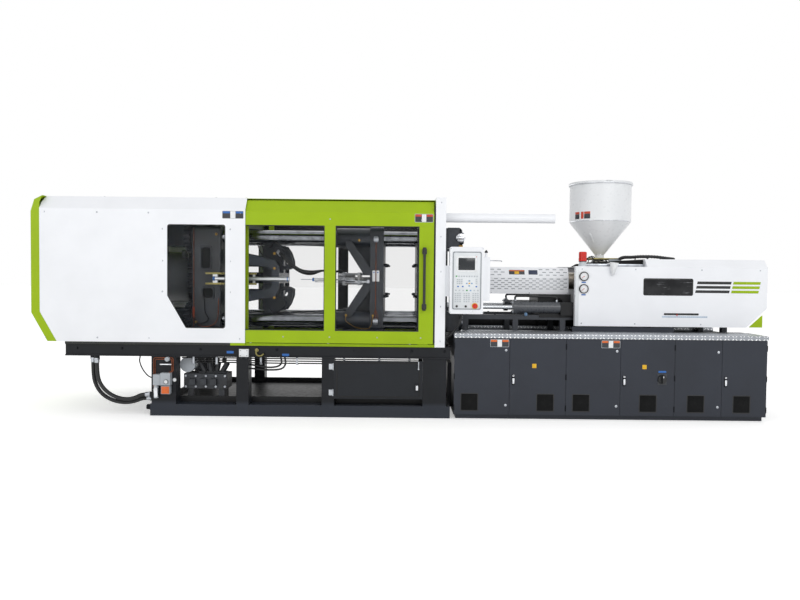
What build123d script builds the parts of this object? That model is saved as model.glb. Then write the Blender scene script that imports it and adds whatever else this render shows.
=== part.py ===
from build123d import *

import math
import os

# An injection moulding machine with a toggle clamp, in millimetres.
# x runs along the machine, y across it with the operator at -y, and z up from the floor.
# The origin lies on the floor under the middle of the closed mould space.

# Clearances
running_gap = 0.08
seat_gap = 0.3
fit_gap = 0.5
sheet = 4

# Clamp
clamp_height = 1358
tie_bar_radius = 62.5
tie_bar_spacing = 855
tie_bar_left = -2820
tie_bar_reach = 170
mould_space = 343
platen_side = 1060
platen_corner = 40
stationary_depth = 308
moving_plate_depth = 137
moving_rib_depth = 281
bush_reach = 61
bush_radius = 92
tail_depth = 289
toggle_span = 1178
way_top = 740
way_height = 40
way_inner = 370
way_outer = 490

# Toggle, seen from the side
rear_pivot_reach = 188.5
rear_pivot_rise = 455
front_pivot_inset = 49.5
front_pivot_rise = 400
rear_link_length = 390
rear_link_fold = 105
crosshead_stroke = 330
crosshead_pin_x = -1271.5
ear_reach = 250
ear_angle = 16
link_end_radius = 70
link_half_height = 60
link_pin_radius = 38
small_end_radius = 46
small_pin_radius = 24

# Toggle, layers across the machine
hook_layer = (62, 92)
crosshead_link_layer = (100, 140)
inner_link_layer = (150, 200)
front_link_layer = (205, 275)
outer_link_layer = (280, 330)
guide_plate_layer = (338, 360)

# Clamp cylinder and mould height gear
cylinder_radius = 270
cylinder_length = 790
cylinder_flange_radius = 330
cylinder_flange_depth = 80
cylinder_bore_radius = 110
piston_rod_radius = 60
ring_teeth = 56
nut_teeth = 20
gear_depth = 60
gear_stand_off = 12
nut_hub_radius = 105
nut_cap_side = 230
nut_cap_depth = 176

# Ejector
ejector_rod_radius = 20
ejector_rod_offset = 150
ejector_plate_x = -455
ejector_plate_depth = 30
ejector_plate_half_height = 68
ejector_plate_half_width = 190
ejector_cylinder_radius = 60

# Platen hole patterns
locating_bore_radius = 80
locating_bore_depth = 30
nozzle_hole_radius = 62
mould_hole_radius = 10
mould_hole_depth = 45
mould_hole_wide = 630
mould_hole_high = 420

# Floor frame under the clamp
base_left = -3270
base_right = 500
base_half_width = 830
beam_top = 700
beam_height = 115
beam_width = 150
skid_left = -2444
skid_height = 115
column_width = 120
anchor_radius = 11
anchor_left = -2300
anchor_right = 400
tray_height = 60
port_radius = 26
port_length = 30
outer_hose_inset = 93
inner_hose_inset = 48
outer_hose_start = (-3040, 555)
outer_hose_end = (-2460, 158)
inner_hose_start = (-2983, 555)
inner_hose_end = (-2460, 202)

# Guards
guard_face = 850
guard_left = -3511
cover_right = -1510
cover_bottom = 725
cover_fold = 2021
guard_top = 2145
guard_lean = 90
window_left = -2266
window_right = -1705
window_bottom = 868
window_top = 1873
window_corner = 25
end_cap_depth = 85
door_left = -1650
door_right = 325
door_bottom = 729
door_depth = 38
door_gap = 8
door_window_edges = ((-1535, -742), (-631, 181))
door_window_bottom = 853
door_window_top = 1875
handle_x = 234
handle_bottom = 1077
handle_top = 1655
end_panel_left = 342
end_panel_right = 441
service_tube_radius = 47
service_tube_end = 1640

# Cabinet under the injection unit
cabinet_left = 536
cabinet_widths = (542, 552, 532, 531, 461, 441)
cabinet_top = 799
cabinet_wall = 25
cabinet_skin = 20
plinth_height = 40
plinth_inset = 20
tread_top = 840
tread_inner = 445
cabinet_door_gap = 3

# Injection unit
rail_y = 300
rail_width = 60
rail_top = 1000
rail_height = 50
rail_left = 560
rail_right = 3500
barrel_radius = 90
barrel_left = 760
nozzle_tip = 560
nozzle_radius = 30
screw_radius = 42
band_radius = 106
hopper_x = 2164
hopper_radius = 324
hopper_rim_radius = 338
hopper_bin_height = 408
hopper_cone_height = 352
hopper_neck_height = 84
hopper_neck_radius = 45
feed_left = 2010
feed_right = 2330
feed_top = 1560
barrel_cover_left = 957
barrel_cover_right = 1798
barrel_cover_half = 165
barrel_cover_bottom = 1216
barrel_cover_bend = 1390
barrel_cover_top = 1500
injection_cover_left = 1801
injection_cover_right = 3778
injection_cover_half = 450
injection_cover_bottom = 897
injection_cover_fold = 1510
injection_cover_top = 1594
throat_right = 2538
throat_top = 1513
carriage_rod_radius = 22
carriage_cylinder_radius = 58
carriage_cylinder_y = 330
carriage_cylinder_z = 1080
carriage_cylinder_left = 1178
carriage_cylinder_right = 1669

# Control panel
panel_left = 478
panel_right = 803
panel_bottom = 1035
panel_top = 1680
panel_face = 930
panel_depth = 150
stop_x = 721
stop_z = 1112
stop_radius = 23

# Places that follow from the sizes
stationary_face = mould_space / 2
stationary_back = stationary_face + stationary_depth
moving_face = -mould_space / 2
moving_plate_back = moving_face - moving_plate_depth
moving_back = moving_plate_back - moving_rib_depth
bush_end = moving_back - bush_reach
tail_front = bush_end - toggle_span
tail_back = tail_front - tail_depth
half_platen = platen_side / 2
half_spacing = tie_bar_spacing / 2
rear_pivot_x = tail_front + rear_pivot_reach
front_pivot_x = moving_back + front_pivot_inset
pivot_run = front_pivot_x - rear_pivot_x
toggle_slope = math.degrees(math.atan2(front_pivot_rise - rear_pivot_rise, pivot_run))
front_link_length = math.hypot(pivot_run, front_pivot_rise - rear_pivot_rise) - rear_link_length
knee_x = rear_pivot_x + rear_link_length * math.cos(math.radians(toggle_slope))
knee_rise = rear_pivot_rise + rear_link_length * math.sin(math.radians(toggle_slope))
ear_x = rear_pivot_x + ear_reach * math.cos(math.radians(toggle_slope - ear_angle))
ear_rise = rear_pivot_rise + ear_reach * math.sin(math.radians(toggle_slope - ear_angle))
open_ear_x = rear_pivot_x + ear_reach * math.cos(math.radians(-rear_link_fold - ear_angle))
open_ear_rise = rear_pivot_rise + ear_reach * math.sin(math.radians(-rear_link_fold - ear_angle))
closed_reach = crosshead_pin_x - ear_x
open_reach = crosshead_pin_x - crosshead_stroke - open_ear_x
pin_balance = closed_reach**2 - open_reach**2 + ear_rise**2 - open_ear_rise**2
crosshead_pin_rise = pin_balance / (2 * (ear_rise - open_ear_rise))
outer_hose_y = outer_hose_inset - base_half_width
inner_hose_y = inner_hose_inset - base_half_width
hopper_neck_top = feed_top + hopper_neck_height
hopper_shoulder = hopper_neck_top + hopper_cone_height
hopper_top = hopper_shoulder + hopper_bin_height
cabinet_right = cabinet_left + sum(cabinet_widths)
cabinet_half = guard_face - cabinet_skin - cabinet_door_gap
tie_bar_places = [
    (side * half_spacing, clamp_height + level * half_spacing) for side in (-1, 1) for level in (-1, 1)
]


def fill(low, high, mode=Mode.ADD):
    """Fill the space between a low and a high corner, each given as x, y, z."""
    middle = [(a + b) / 2 for a, b in zip(low, high)]
    size = [b - a for a, b in zip(low, high)]
    with Locations(tuple(middle)):
        Box(*size, mode=mode)


def fill_both(x_span, y_span, z_span, mode=Mode.ADD):
    """Fill a space beside the centre plane and its mirror image across the machine."""
    for side in (-1, 1):
        edges = sorted((side * y_span[0], side * y_span[1]))
        fill((x_span[0], edges[0], z_span[0]), (x_span[1], edges[1], z_span[1]), mode)


def bar_x(x_span, y, z, radius, mode=Mode.ADD):
    """Place a round bar along the machine."""
    with Locations(Location(((x_span[0] + x_span[1]) / 2, y, z), (0, 90, 0))):
        Cylinder(radius, x_span[1] - x_span[0], mode=mode)


def bar_y(x, y_span, z, radius, mode=Mode.ADD):
    """Place a round bar across the machine."""
    with Locations(Location((x, (y_span[0] + y_span[1]) / 2, z), (90, 0, 0))):
        Cylinder(radius, abs(y_span[1] - y_span[0]), mode=mode)


def bar_y_both(x, y_span, z, radius, mode=Mode.ADD):
    """Place a round bar across the machine on both sides of the centre plane."""
    for side in (-1, 1):
        bar_y(x, (side * y_span[0], side * y_span[1]), z, radius, mode)


def bar_z(x, y, z_span, radius, mode=Mode.ADD):
    """Place an upright round bar."""
    with Locations((x, y, (z_span[0] + z_span[1]) / 2)):
        Cylinder(radius, z_span[1] - z_span[0], mode=mode)


def side_plate(points, y_span, mode=Mode.ADD, corner=0):
    """Extrude an outline of x, z points between two places across the machine."""
    near, far = sorted(y_span)
    with BuildSketch(Plane(origin=(0, far, 0), x_dir=(1, 0, 0), z_dir=(0, -1, 0))) as outline:
        with BuildLine():
            Polyline(*points, close=True)
        make_face()
        if corner:
            fillet(outline.vertices(), corner)
    extrude(outline.sketch, amount=far - near, mode=mode)


def side_plate_both(points, y_span, mode=Mode.ADD, corner=0):
    """Extrude an outline on both sides of the centre plane."""
    for side in (-1, 1):
        side_plate(points, (side * y_span[0], side * y_span[1]), mode, corner)


def end_plate(points, x_span, mode=Mode.ADD):
    """Extrude an outline of y, z points between two places along the machine."""
    with BuildSketch(Plane(origin=(x_span[0], 0, 0), x_dir=(0, 1, 0), z_dir=(1, 0, 0))) as outline:
        with BuildLine():
            Polyline(*points, close=True)
        make_face()
    extrude(outline.sketch, amount=x_span[1] - x_span[0], mode=mode)


def link_bar(start, end, radius, y_span, mode=Mode.ADD):
    """Place a link with round ends on both sides, between two x, z points."""
    middle = ((start[0] + end[0]) / 2, (start[1] + end[1]) / 2)
    run = math.hypot(end[0] - start[0], end[1] - start[1])
    turn = math.degrees(math.atan2(end[1] - start[1], end[0] - start[0]))
    for side in (-1, 1):
        far = max(side * y_span[0], side * y_span[1])
        with BuildSketch(Plane(origin=(0, far, 0), x_dir=(1, 0, 0), z_dir=(0, -1, 0))) as outline:
            with Locations(middle):
                SlotCenterToCenter(run, 2 * radius, rotation=turn)
        extrude(outline.sketch, amount=abs(y_span[1] - y_span[0]), mode=mode)


def finish(builder, name):
    """Label a finished piece and write it out."""
    builder.part.label = name
    export_step(builder.part, f"parts/{name}.step")


os.makedirs("parts", exist_ok=True)

# Welded floor frame: skids, columns, beams and the cross members under the ways
front_columns = ((-2430, -2190), (-1598, -1478), (-760, -640), (230, 460))
rear_columns = ((-2430, -2190), (-1720, -1600), (-900, -780), (230, 460))
beam_bottom = beam_top - beam_height
cross_members = (
    (base_left, base_left + column_width),
    (-2430, -2190),
    (-1598, -1478),
    (-900, -780),
    (230, 460),
)
frame_length = (base_left, base_right)
beam_layer = (base_half_width - beam_width, base_half_width)
flange = 12
with BuildPart() as clamp_base:
    fill_both(frame_length, beam_layer, (beam_bottom, beam_top))
    fill_both(frame_length, (way_inner, way_outer), (beam_bottom, beam_top))
    fill_both((skid_left, base_right), beam_layer, (0, skid_height))
    for left, right in cross_members:
        fill((left, -base_half_width, beam_bottom), (right, base_half_width, beam_top))
    for left, right in front_columns:
        fill((left, -base_half_width, skid_height), (right, beam_width - base_half_width, beam_bottom))
    for left, right in rear_columns:
        fill((left, base_half_width - beam_width, skid_height), (right, base_half_width, beam_bottom))
    for left in (skid_left, -column_width / 2, base_right - column_width):
        fill((left, -base_half_width, 0), (left + column_width, base_half_width, skid_height))
    for x in (anchor_left, anchor_right):
        for side in (-1, 1):
            anchor_y = side * (base_half_width - beam_width / 2)
            bar_z(x, anchor_y, (0, skid_height), anchor_radius, Mode.SUBTRACT)
    fill_both(frame_length, (base_half_width, base_half_width + flange), (beam_bottom, beam_bottom + flange))
    for y, start, end in (
        (outer_hose_y, outer_hose_start, outer_hose_end),
        (inner_hose_y, inner_hose_start, inner_hose_end),
    ):
        bar_z(start[0], y, (start[1], start[1] + port_length), port_radius)
        bar_x((end[0], end[0] + port_length), y, end[1], port_radius)
finish(clamp_base, "clamp_base")

# Drip tray on the skids below the toggle and the mould space
tray_left = skid_left + column_width
tray_right = base_right - column_width
tray_half = base_half_width - beam_width
tray_floor = skid_height + sheet
with BuildPart() as drip_tray:
    fill((tray_left, -tray_half, skid_height), (tray_right, tray_half, skid_height + tray_height))
    fill(
        (tray_left + sheet, sheet - tray_half, tray_floor),
        (tray_right - sheet, tray_half - sheet, skid_height + tray_height),
        Mode.SUBTRACT,
    )
finish(drip_tray, "drip_tray")

# Drop door below the mould space, hinged at its left edge
drop_left = front_columns[2][1] + seat_gap
drop_right = front_columns[3][0] - 1
drop_bottom = 185
drop_top = 560
drop_depth = 15
with BuildPart() as drop_door:
    fill((drop_left, -base_half_width, drop_bottom), (drop_right, drop_depth - base_half_width, drop_top))
    fill((drop_right - 70, -base_half_width - 22, 270), (drop_right - 40, -base_half_width, 330))
finish(drop_door, "drop_door")

# Stationary platen with its feet, tie-bar holes, locating bore and mould bolt holes
foot_inner = 300
with BuildPart() as stationary_platen:
    fill(
        (stationary_face, -half_platen, clamp_height - half_platen),
        (stationary_back, half_platen, clamp_height + half_platen),
    )
    fillet(stationary_platen.edges().filter_by(Axis.X), platen_corner)
    fill_both(
        (stationary_face, stationary_back),
        (foot_inner, half_platen - platen_corner),
        (beam_top, clamp_height - half_platen + 5),
    )
    for y, z in tie_bar_places:
        bar_x((stationary_face, stationary_back), y, z, tie_bar_radius + fit_gap, Mode.SUBTRACT)
    bar_x((stationary_face, stationary_back), 0, clamp_height, nozzle_hole_radius, Mode.SUBTRACT)
    bar_x(
        (stationary_face, stationary_face + locating_bore_depth),
        0,
        clamp_height,
        locating_bore_radius,
        Mode.SUBTRACT,
    )
    bar_x((stationary_back - 170, stationary_back), 0, clamp_height, 190, Mode.SUBTRACT)
    for y in (-mould_hole_wide / 2, mould_hole_wide / 2):
        for z in (-mould_hole_high / 2, mould_hole_high / 2):
            bar_x(
                (stationary_face, stationary_face + mould_hole_depth),
                y,
                clamp_height + z,
                mould_hole_radius,
                Mode.SUBTRACT,
            )
finish(stationary_platen, "stationary_platen")

# Tie bars, with a collar groove behind the stationary platen
tie_bar_right = stationary_back + tie_bar_reach
with BuildPart() as tie_bars:
    for y, z in tie_bar_places:
        bar_x((tie_bar_left, tie_bar_right), y, z, tie_bar_radius)
    chamfer(tie_bars.edges().filter_by(GeomType.CIRCLE), 6)
finish(tie_bars, "tie_bars")

# Nuts and their square housings on the back of the stationary platen
with BuildPart() as tie_bar_nuts:
    for y, z in tie_bar_places:
        fill(
            (stationary_back, y - nut_hub_radius, z - nut_hub_radius),
            (stationary_back + 120, y + nut_hub_radius, z + nut_hub_radius),
        )
        bar_x((stationary_back + 120, stationary_back + 150), y, z, 92)
        bar_x((stationary_back, stationary_back + 150), y, z, tie_bar_radius + fit_gap, Mode.SUBTRACT)
    fillet(tie_bar_nuts.edges().filter_by(Axis.X), 14)
finish(tie_bar_nuts, "tie_bar_nuts")

# Tail platen: block, feet, link ears, side pockets and bores
shoe_bottom = way_top + seat_gap
ear_half = link_end_radius
with BuildPart() as tail_platen:
    fill(
        (tail_back, -half_platen, clamp_height - half_platen),
        (tail_front, half_platen, clamp_height + half_platen),
    )
    fillet(tail_platen.edges().filter_by(Axis.X), platen_corner)
    fill_both(
        (tail_back, tail_front),
        (way_inner + 10, way_outer - 10),
        (shoe_bottom, clamp_height - half_platen + 5),
    )
    for rise in (-rear_pivot_rise, rear_pivot_rise):
        pivot = (rear_pivot_x, clamp_height + rise)
        link_bar((tail_front - ear_half, pivot[1]), pivot, ear_half, front_link_layer)
        bar_y_both(rear_pivot_x, front_link_layer, pivot[1], link_pin_radius + running_gap, Mode.SUBTRACT)
    for y, z in tie_bar_places:
        bar_x((tail_back, tail_front), y, z, tie_bar_radius + running_gap, Mode.SUBTRACT)
    bar_x((tail_back, tail_front), 0, clamp_height, cylinder_bore_radius + 40, Mode.SUBTRACT)
    for low, high in ((90, 330), (-330, -90)):
        for side in (-1, 1):
            face = side * half_platen
            with BuildSketch(Plane(origin=(0, face, 0), x_dir=(1, 0, 0), z_dir=(0, -side, 0))):
                with Locations(((tail_back + tail_front) / 2, clamp_height + (low + high) / 2)):
                    RectangleRounded(150, high - low, 35)
            extrude(amount=90, mode=Mode.SUBTRACT)
finish(tail_platen, "tail_platen")

# Clamp cylinder behind the tail platen, with its flange and front gland
flange_back = tail_back - cylinder_flange_depth
cylinder_left = flange_back - cylinder_length
cylinder_bore_left = cylinder_left + 60
gland_radius = cylinder_bore_radius + 40 - fit_gap
with BuildPart() as clamp_cylinder:
    bar_x((flange_back, tail_back), 0, clamp_height, cylinder_flange_radius)
    bar_x((cylinder_left, flange_back), 0, clamp_height, cylinder_radius)
    bar_x((tail_back, tail_front), 0, clamp_height, gland_radius)
    bar_x((cylinder_left - 50, cylinder_left), 0, clamp_height, cylinder_radius - 30)
    bore = cylinder_bore_radius + running_gap
    bar_x((cylinder_bore_left, flange_back), 0, clamp_height, bore, Mode.SUBTRACT)
    bar_x((flange_back - 10, tail_front), 0, clamp_height, piston_rod_radius + running_gap, Mode.SUBTRACT)
finish(clamp_cylinder, "clamp_cylinder")


def gear_wheel(teeth, root, tip, phase, y, z, x_span):
    """Extrude a spur gear whose first tooth points at the phase angle in degrees."""
    points = []
    for number in range(teeth):
        middle = math.radians(phase) + 2 * math.pi * number / teeth
        for radius, half_width in ((root, -12), (tip, -6), (tip, 6), (root, 12)):
            turn = middle + half_width / radius
            points.append((y + radius * math.cos(turn), z + radius * math.sin(turn)))
    end_plate(points, x_span)


# Ring gear on the cylinder flange and four adjusting nuts with their caps
gear_right = tail_back - gear_stand_off
gear_left = gear_right - gear_depth
centre_distance = half_spacing * math.sqrt(2)
ring_pitch_radius = centre_distance * ring_teeth / (ring_teeth + nut_teeth)
nut_pitch_radius = centre_distance - ring_pitch_radius
cap_left = gear_left - nut_cap_depth
with BuildPart() as height_adjuster:
    gear_wheel(
        ring_teeth,
        ring_pitch_radius - 20,
        ring_pitch_radius + 15,
        0,
        0,
        clamp_height,
        (gear_left, gear_right),
    )
    bar_x((gear_left, gear_right), 0, clamp_height, cylinder_flange_radius + seat_gap, Mode.SUBTRACT)
    for y, z in tie_bar_places:
        gear_wheel(
            nut_teeth,
            nut_pitch_radius - 20,
            nut_pitch_radius + 15,
            45 + 180 / nut_teeth,
            y,
            z,
            (gear_left, gear_right),
        )
        bar_x((gear_right, tail_back), y, z, nut_hub_radius)
        fill(
            (cap_left, y - nut_cap_side / 2, z - nut_cap_side / 2),
            (gear_left, y + nut_cap_side / 2, z + nut_cap_side / 2),
        )
        bar_x((cap_left, tail_back), y, z, tie_bar_radius + running_gap, Mode.SUBTRACT)
finish(height_adjuster, "height_adjuster")

# Crosshead guide: two yoke-shaped side plates, a cross beam and two guide rods
yoke_right = -1262
yoke_bar = 78
yoke_root = (161, 294)
yoke_tip = (116, 189)
guide_rod_rise = 150
guide_rod_radius = 30
yoke_outline = [
    (tail_front, clamp_height + yoke_root[1]),
    (yoke_right - 42, clamp_height + yoke_tip[1]),
    (yoke_right, clamp_height + yoke_tip[0]),
    (yoke_right, clamp_height - yoke_tip[0]),
    (yoke_right - 42, clamp_height - yoke_tip[1]),
    (tail_front, clamp_height - yoke_root[1]),
    (tail_front, clamp_height - yoke_root[0]),
    (yoke_right - yoke_bar - 30, clamp_height - yoke_tip[0]),
    (yoke_right - yoke_bar, clamp_height - yoke_tip[0] + 34),
    (yoke_right - yoke_bar, clamp_height + yoke_tip[0] - 34),
    (yoke_right - yoke_bar - 30, clamp_height + yoke_tip[0]),
    (tail_front, clamp_height + yoke_root[0]),
]
with BuildPart() as guide_frame:
    side_plate_both(yoke_outline, guide_plate_layer)
    fill(
        (yoke_right - yoke_bar, -guide_plate_layer[0], clamp_height - 55),
        (yoke_right, guide_plate_layer[0], clamp_height + 55),
    )
    fill(
        (yoke_right - yoke_bar, -55, clamp_height - guide_rod_rise - 50),
        (yoke_right, 55, clamp_height + guide_rod_rise + 50),
    )
    for rise in (-guide_rod_rise, guide_rod_rise):
        bar_x((tail_front, yoke_right - yoke_bar), 0, clamp_height + rise, guide_rod_radius)
finish(guide_frame, "guide_frame")

# Stroke transducer on two bracket rails at the front side of the tail platen
transducer_y = -(half_platen + 35)
transducer_z = clamp_height - 8
transducer_radius = 21
transducer_left = tail_front - 66.5
transducer_right = tail_front + 692.5
transducer_cap = 14
bracket_rail_right = tail_front + 375.5
clip_places = (transducer_left + 35, bracket_rail_right - 27)
with BuildPart() as stroke_transducer:
    bar_x((transducer_left, transducer_right), transducer_y, transducer_z, transducer_radius)
    for rise in (-52, 52):
        fill(
            (tail_back + 150, transducer_y - 8, transducer_z + rise - 7),
            (bracket_rail_right, transducer_y + 8, transducer_z + rise + 7),
        )
    for x in clip_places:
        fill((x - 12, transducer_y - 8, transducer_z - 45), (x + 12, transducer_y + 8, transducer_z + 45))
    fill(
        (transducer_left - 5, transducer_y + 8, transducer_z - 59),
        (transducer_left + 45, -half_platen, transducer_z + 59),
    )
    bar_x(
        (transducer_right, transducer_right + transducer_cap),
        transducer_y,
        transducer_z,
        transducer_radius + 3,
    )
finish(stroke_transducer, "stroke_transducer")

# Crosshead: tall plate on the guide rods, hook plates with the link pins, piston rod
crosshead_right = -1350
crosshead_left = -1485
crosshead_half = 345
hook_upper = [
    (crosshead_right, 85),
    (-1290, 85),
    (-1200, 96),
    (-1155, 120),
    (-1158, 190),
    (-1190, 280),
    (-1235, 345),
    (crosshead_right, 345),
]
with BuildPart() as crosshead:
    fill(
        (crosshead_left, -hook_layer[0], clamp_height - crosshead_half),
        (crosshead_right, hook_layer[0], clamp_height + crosshead_half),
    )
    for level in (-1, 1):
        hook = [(x, clamp_height + level * z) for x, z in hook_upper]
        hook.append((crosshead_left, clamp_height + level * crosshead_half))
        hook.append((crosshead_left, clamp_height + level * 85))
        side_plate_both(hook, hook_layer)
        pin_z = clamp_height + level * crosshead_pin_rise
        bar_y_both(crosshead_pin_x, (hook_layer[0], crosshead_link_layer[1]), pin_z, small_pin_radius)
        bar_y_both(-1245, hook_layer, clamp_height + level * 165, 34, Mode.SUBTRACT)
        bar_x(
            (crosshead_left, crosshead_right),
            0,
            clamp_height + level * guide_rod_rise,
            guide_rod_radius + running_gap,
            Mode.SUBTRACT,
        )
    piston_right = flange_back - 25
    bar_x((piston_right - 90, crosshead_left), 0, clamp_height, piston_rod_radius)
    bar_x((piston_right - 90, piston_right), 0, clamp_height, cylinder_bore_radius)
finish(crosshead, "crosshead")


def rear_link(level):
    """Build the rear links of one side, each a forked pair with its pins."""
    pivot = (rear_pivot_x, clamp_height + level * rear_pivot_rise)
    knee = (knee_x, clamp_height + level * knee_rise)
    ear = (ear_x, clamp_height + level * ear_rise)
    with BuildPart() as link:
        for layer in (inner_link_layer, outer_link_layer):
            link_bar(pivot, knee, link_half_height, layer)
        middle = ((pivot[0] + knee[0]) / 2, (pivot[1] + knee[1]) / 2)
        link_bar(middle, ear, small_end_radius, inner_link_layer)
        bar_y_both(pivot[0], (inner_link_layer[0] - 5, outer_link_layer[1] + 6), pivot[1], link_pin_radius)
        for x, z in (knee, ear):
            bar_y_both(x, (inner_link_layer[0] - 5, inner_link_layer[0]), z, small_pin_radius)
        bar_y_both(knee[0], (outer_link_layer[1], outer_link_layer[1] + 6), knee[1], link_pin_radius)
    return link


def front_link(level):
    """Build the front links of one side, a bar on each side of the centre plane."""
    pivot = (front_pivot_x, clamp_height + level * front_pivot_rise)
    knee = (knee_x, clamp_height + level * knee_rise)
    with BuildPart() as link:
        link_bar(knee, pivot, link_half_height, front_link_layer)
        bar_y_both(pivot[0], (inner_link_layer[0], outer_link_layer[1]), pivot[1], link_pin_radius)
    return link


def crosshead_link(level):
    """Build the small links from the crosshead to the ears of the rear links."""
    pin = (crosshead_pin_x, clamp_height + level * crosshead_pin_rise)
    ear = (ear_x, clamp_height + level * ear_rise)
    with BuildPart() as link:
        link_bar(pin, ear, small_end_radius, crosshead_link_layer)
        bar_y_both(pin[0], crosshead_link_layer, pin[1], small_pin_radius + running_gap, Mode.SUBTRACT)
    return link


# Toggle links above and below the clamp axis
for level, place in ((1, "upper"), (-1, "lower")):
    finish(rear_link(level), f"rear_link_{place}")
    finish(front_link(level), f"front_link_{place}")
    finish(crosshead_link(level), f"crosshead_link_{place}")

# Moving platen: mould plate, ribs that carry the front pivots, bushes and side webs
rib_upper = [
    (moving_plate_back, clamp_height + 60),
    (moving_plate_back - 110, clamp_height + 150),
    (front_pivot_x - 40, clamp_height + front_pivot_rise - 55),
    (front_pivot_x - 60, clamp_height + front_pivot_rise + 40),
    (moving_plate_back, clamp_height + half_platen - 30),
]
web_depth = 30
web_near = half_platen - 35
web_left = moving_back + 30
ejector_holes = [(0, 0)]
for y in (-ejector_rod_offset, ejector_rod_offset):
    ejector_holes.append((y, 0))
with BuildPart() as moving_platen:
    fill(
        (moving_plate_back, -half_platen, clamp_height - half_platen),
        (moving_face, half_platen, clamp_height + half_platen),
    )
    fillet(moving_platen.edges().filter_by(Axis.X), platen_corner)
    for level in (-1, 1):
        pivot_z = clamp_height + level * front_pivot_rise
        rib = [(x, clamp_height + level * (z - clamp_height)) for x, z in rib_upper]
        for layer in (inner_link_layer, outer_link_layer):
            side_plate_both(rib, layer)
            link_bar((moving_plate_back - 80, pivot_z), (front_pivot_x, pivot_z), link_end_radius, layer)
            bar_y_both(front_pivot_x, layer, pivot_z, link_pin_radius + running_gap, Mode.SUBTRACT)
        web = [
            (moving_plate_back, clamp_height + level * 40),
            (moving_plate_back, clamp_height + level * 120),
            (web_left + 60, clamp_height + level * (half_spacing - 40)),
            (web_left, clamp_height + level * (half_spacing - 40)),
            (web_left, clamp_height + level * (half_spacing - 90)),
            (moving_plate_back - 60, clamp_height + level * 40),
        ]
        side_plate_both(web, (web_near, web_near + web_depth))
    for y, z in tie_bar_places:
        bar_x((bush_end, moving_plate_back), y, z, bush_radius)
        bar_x((bush_end, moving_face), y, z, tie_bar_radius + running_gap, Mode.SUBTRACT)
    fill_both(
        (moving_back, moving_face),
        (way_inner + 10, way_outer - 10),
        (shoe_bottom, clamp_height - half_platen + 12),
    )
    for y, z in ejector_holes:
        bar_x(
            (moving_plate_back, moving_face),
            y,
            clamp_height + z,
            ejector_rod_radius + running_gap,
            Mode.SUBTRACT,
        )
    for y in (-mould_hole_wide / 2, mould_hole_wide / 2):
        for z in (-mould_hole_high / 2, mould_hole_high / 2):
            bar_x(
                (moving_face - mould_hole_depth, moving_face),
                y,
                clamp_height + z,
                mould_hole_radius,
                Mode.SUBTRACT,
            )
finish(moving_platen, "moving_platen")

# Ejector cylinder on a bridge between the ribs, standing off on four studs
bridge_left = moving_back - 30
bridge_depth = 30
bridge_half_height = 70
ejector_cylinder_left = moving_back - 80
ejector_cylinder_right = ejector_plate_x - 35
with BuildPart() as ejector_cylinder:
    fill(
        (bridge_left, -inner_link_layer[0] + 12, clamp_height - bridge_half_height),
        (bridge_left + bridge_depth, inner_link_layer[0] - 12, clamp_height + bridge_half_height),
    )
    bar_x((ejector_cylinder_left, ejector_cylinder_right), 0, clamp_height, ejector_cylinder_radius)
    bar_x(
        (ejector_cylinder_left + 20, ejector_cylinder_right),
        0,
        clamp_height,
        ejector_rod_radius + running_gap,
        Mode.SUBTRACT,
    )
    for y in (-100, 100):
        for z in (-50, 50):
            bar_x((bridge_left + bridge_depth, moving_plate_back), y, clamp_height + z, 12)
finish(ejector_cylinder, "ejector_cylinder")

# Ejector plate with its rods, pushed towards the mould by the cylinder
ejector_tip = moving_face - 4
ejector_plate_right = ejector_plate_x + ejector_plate_depth
with BuildPart() as ejector:
    fill(
        (ejector_plate_x, -ejector_plate_half_width, clamp_height - ejector_plate_half_height),
        (ejector_plate_right, ejector_plate_half_width, clamp_height + ejector_plate_half_height),
    )
    for y, z in ejector_holes:
        bar_x((ejector_plate_right, ejector_tip), y, clamp_height + z, ejector_rod_radius)
    for y in (-100, 100):
        for z in (-50, 50):
            bar_x(
                (ejector_plate_x, ejector_plate_right),
                y,
                clamp_height + z,
                12 + running_gap,
                Mode.SUBTRACT,
            )
    bar_x((ejector_cylinder_left + 40, ejector_plate_x), 0, clamp_height, ejector_rod_radius)
finish(ejector, "ejector")

# Guards: fixed covers, guard frame with the door tracks, end cap, end panels
cover_inner = guard_face - sheet
lean_top = guard_face - guard_lean
post_outer = 750
post_inner = 700
beam_low = 2020
beam_high = 2068
roof_under = guard_top - sheet
rail_inner = 800
rail_head = (808, 830)
rail_head_top = 722
door_face = cover_inner - door_gap
door_back = door_face - door_depth
door_fold = cover_fold - 13
door_top = guard_top - 22
door_pane_lap = 15
spare = 0.2


def cover_profile():
    """Give the y, z outline of the folded sheet of a fixed cover."""
    return [
        (-guard_face, cover_bottom),
        (-guard_face, cover_fold),
        (-lean_top, guard_top),
        (-post_inner, guard_top),
        (-post_inner, roof_under),
        (sheet / 2 - lean_top, roof_under),
        (-cover_inner, cover_fold - 1.5),
        (-cover_inner, cover_bottom),
    ]


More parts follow.
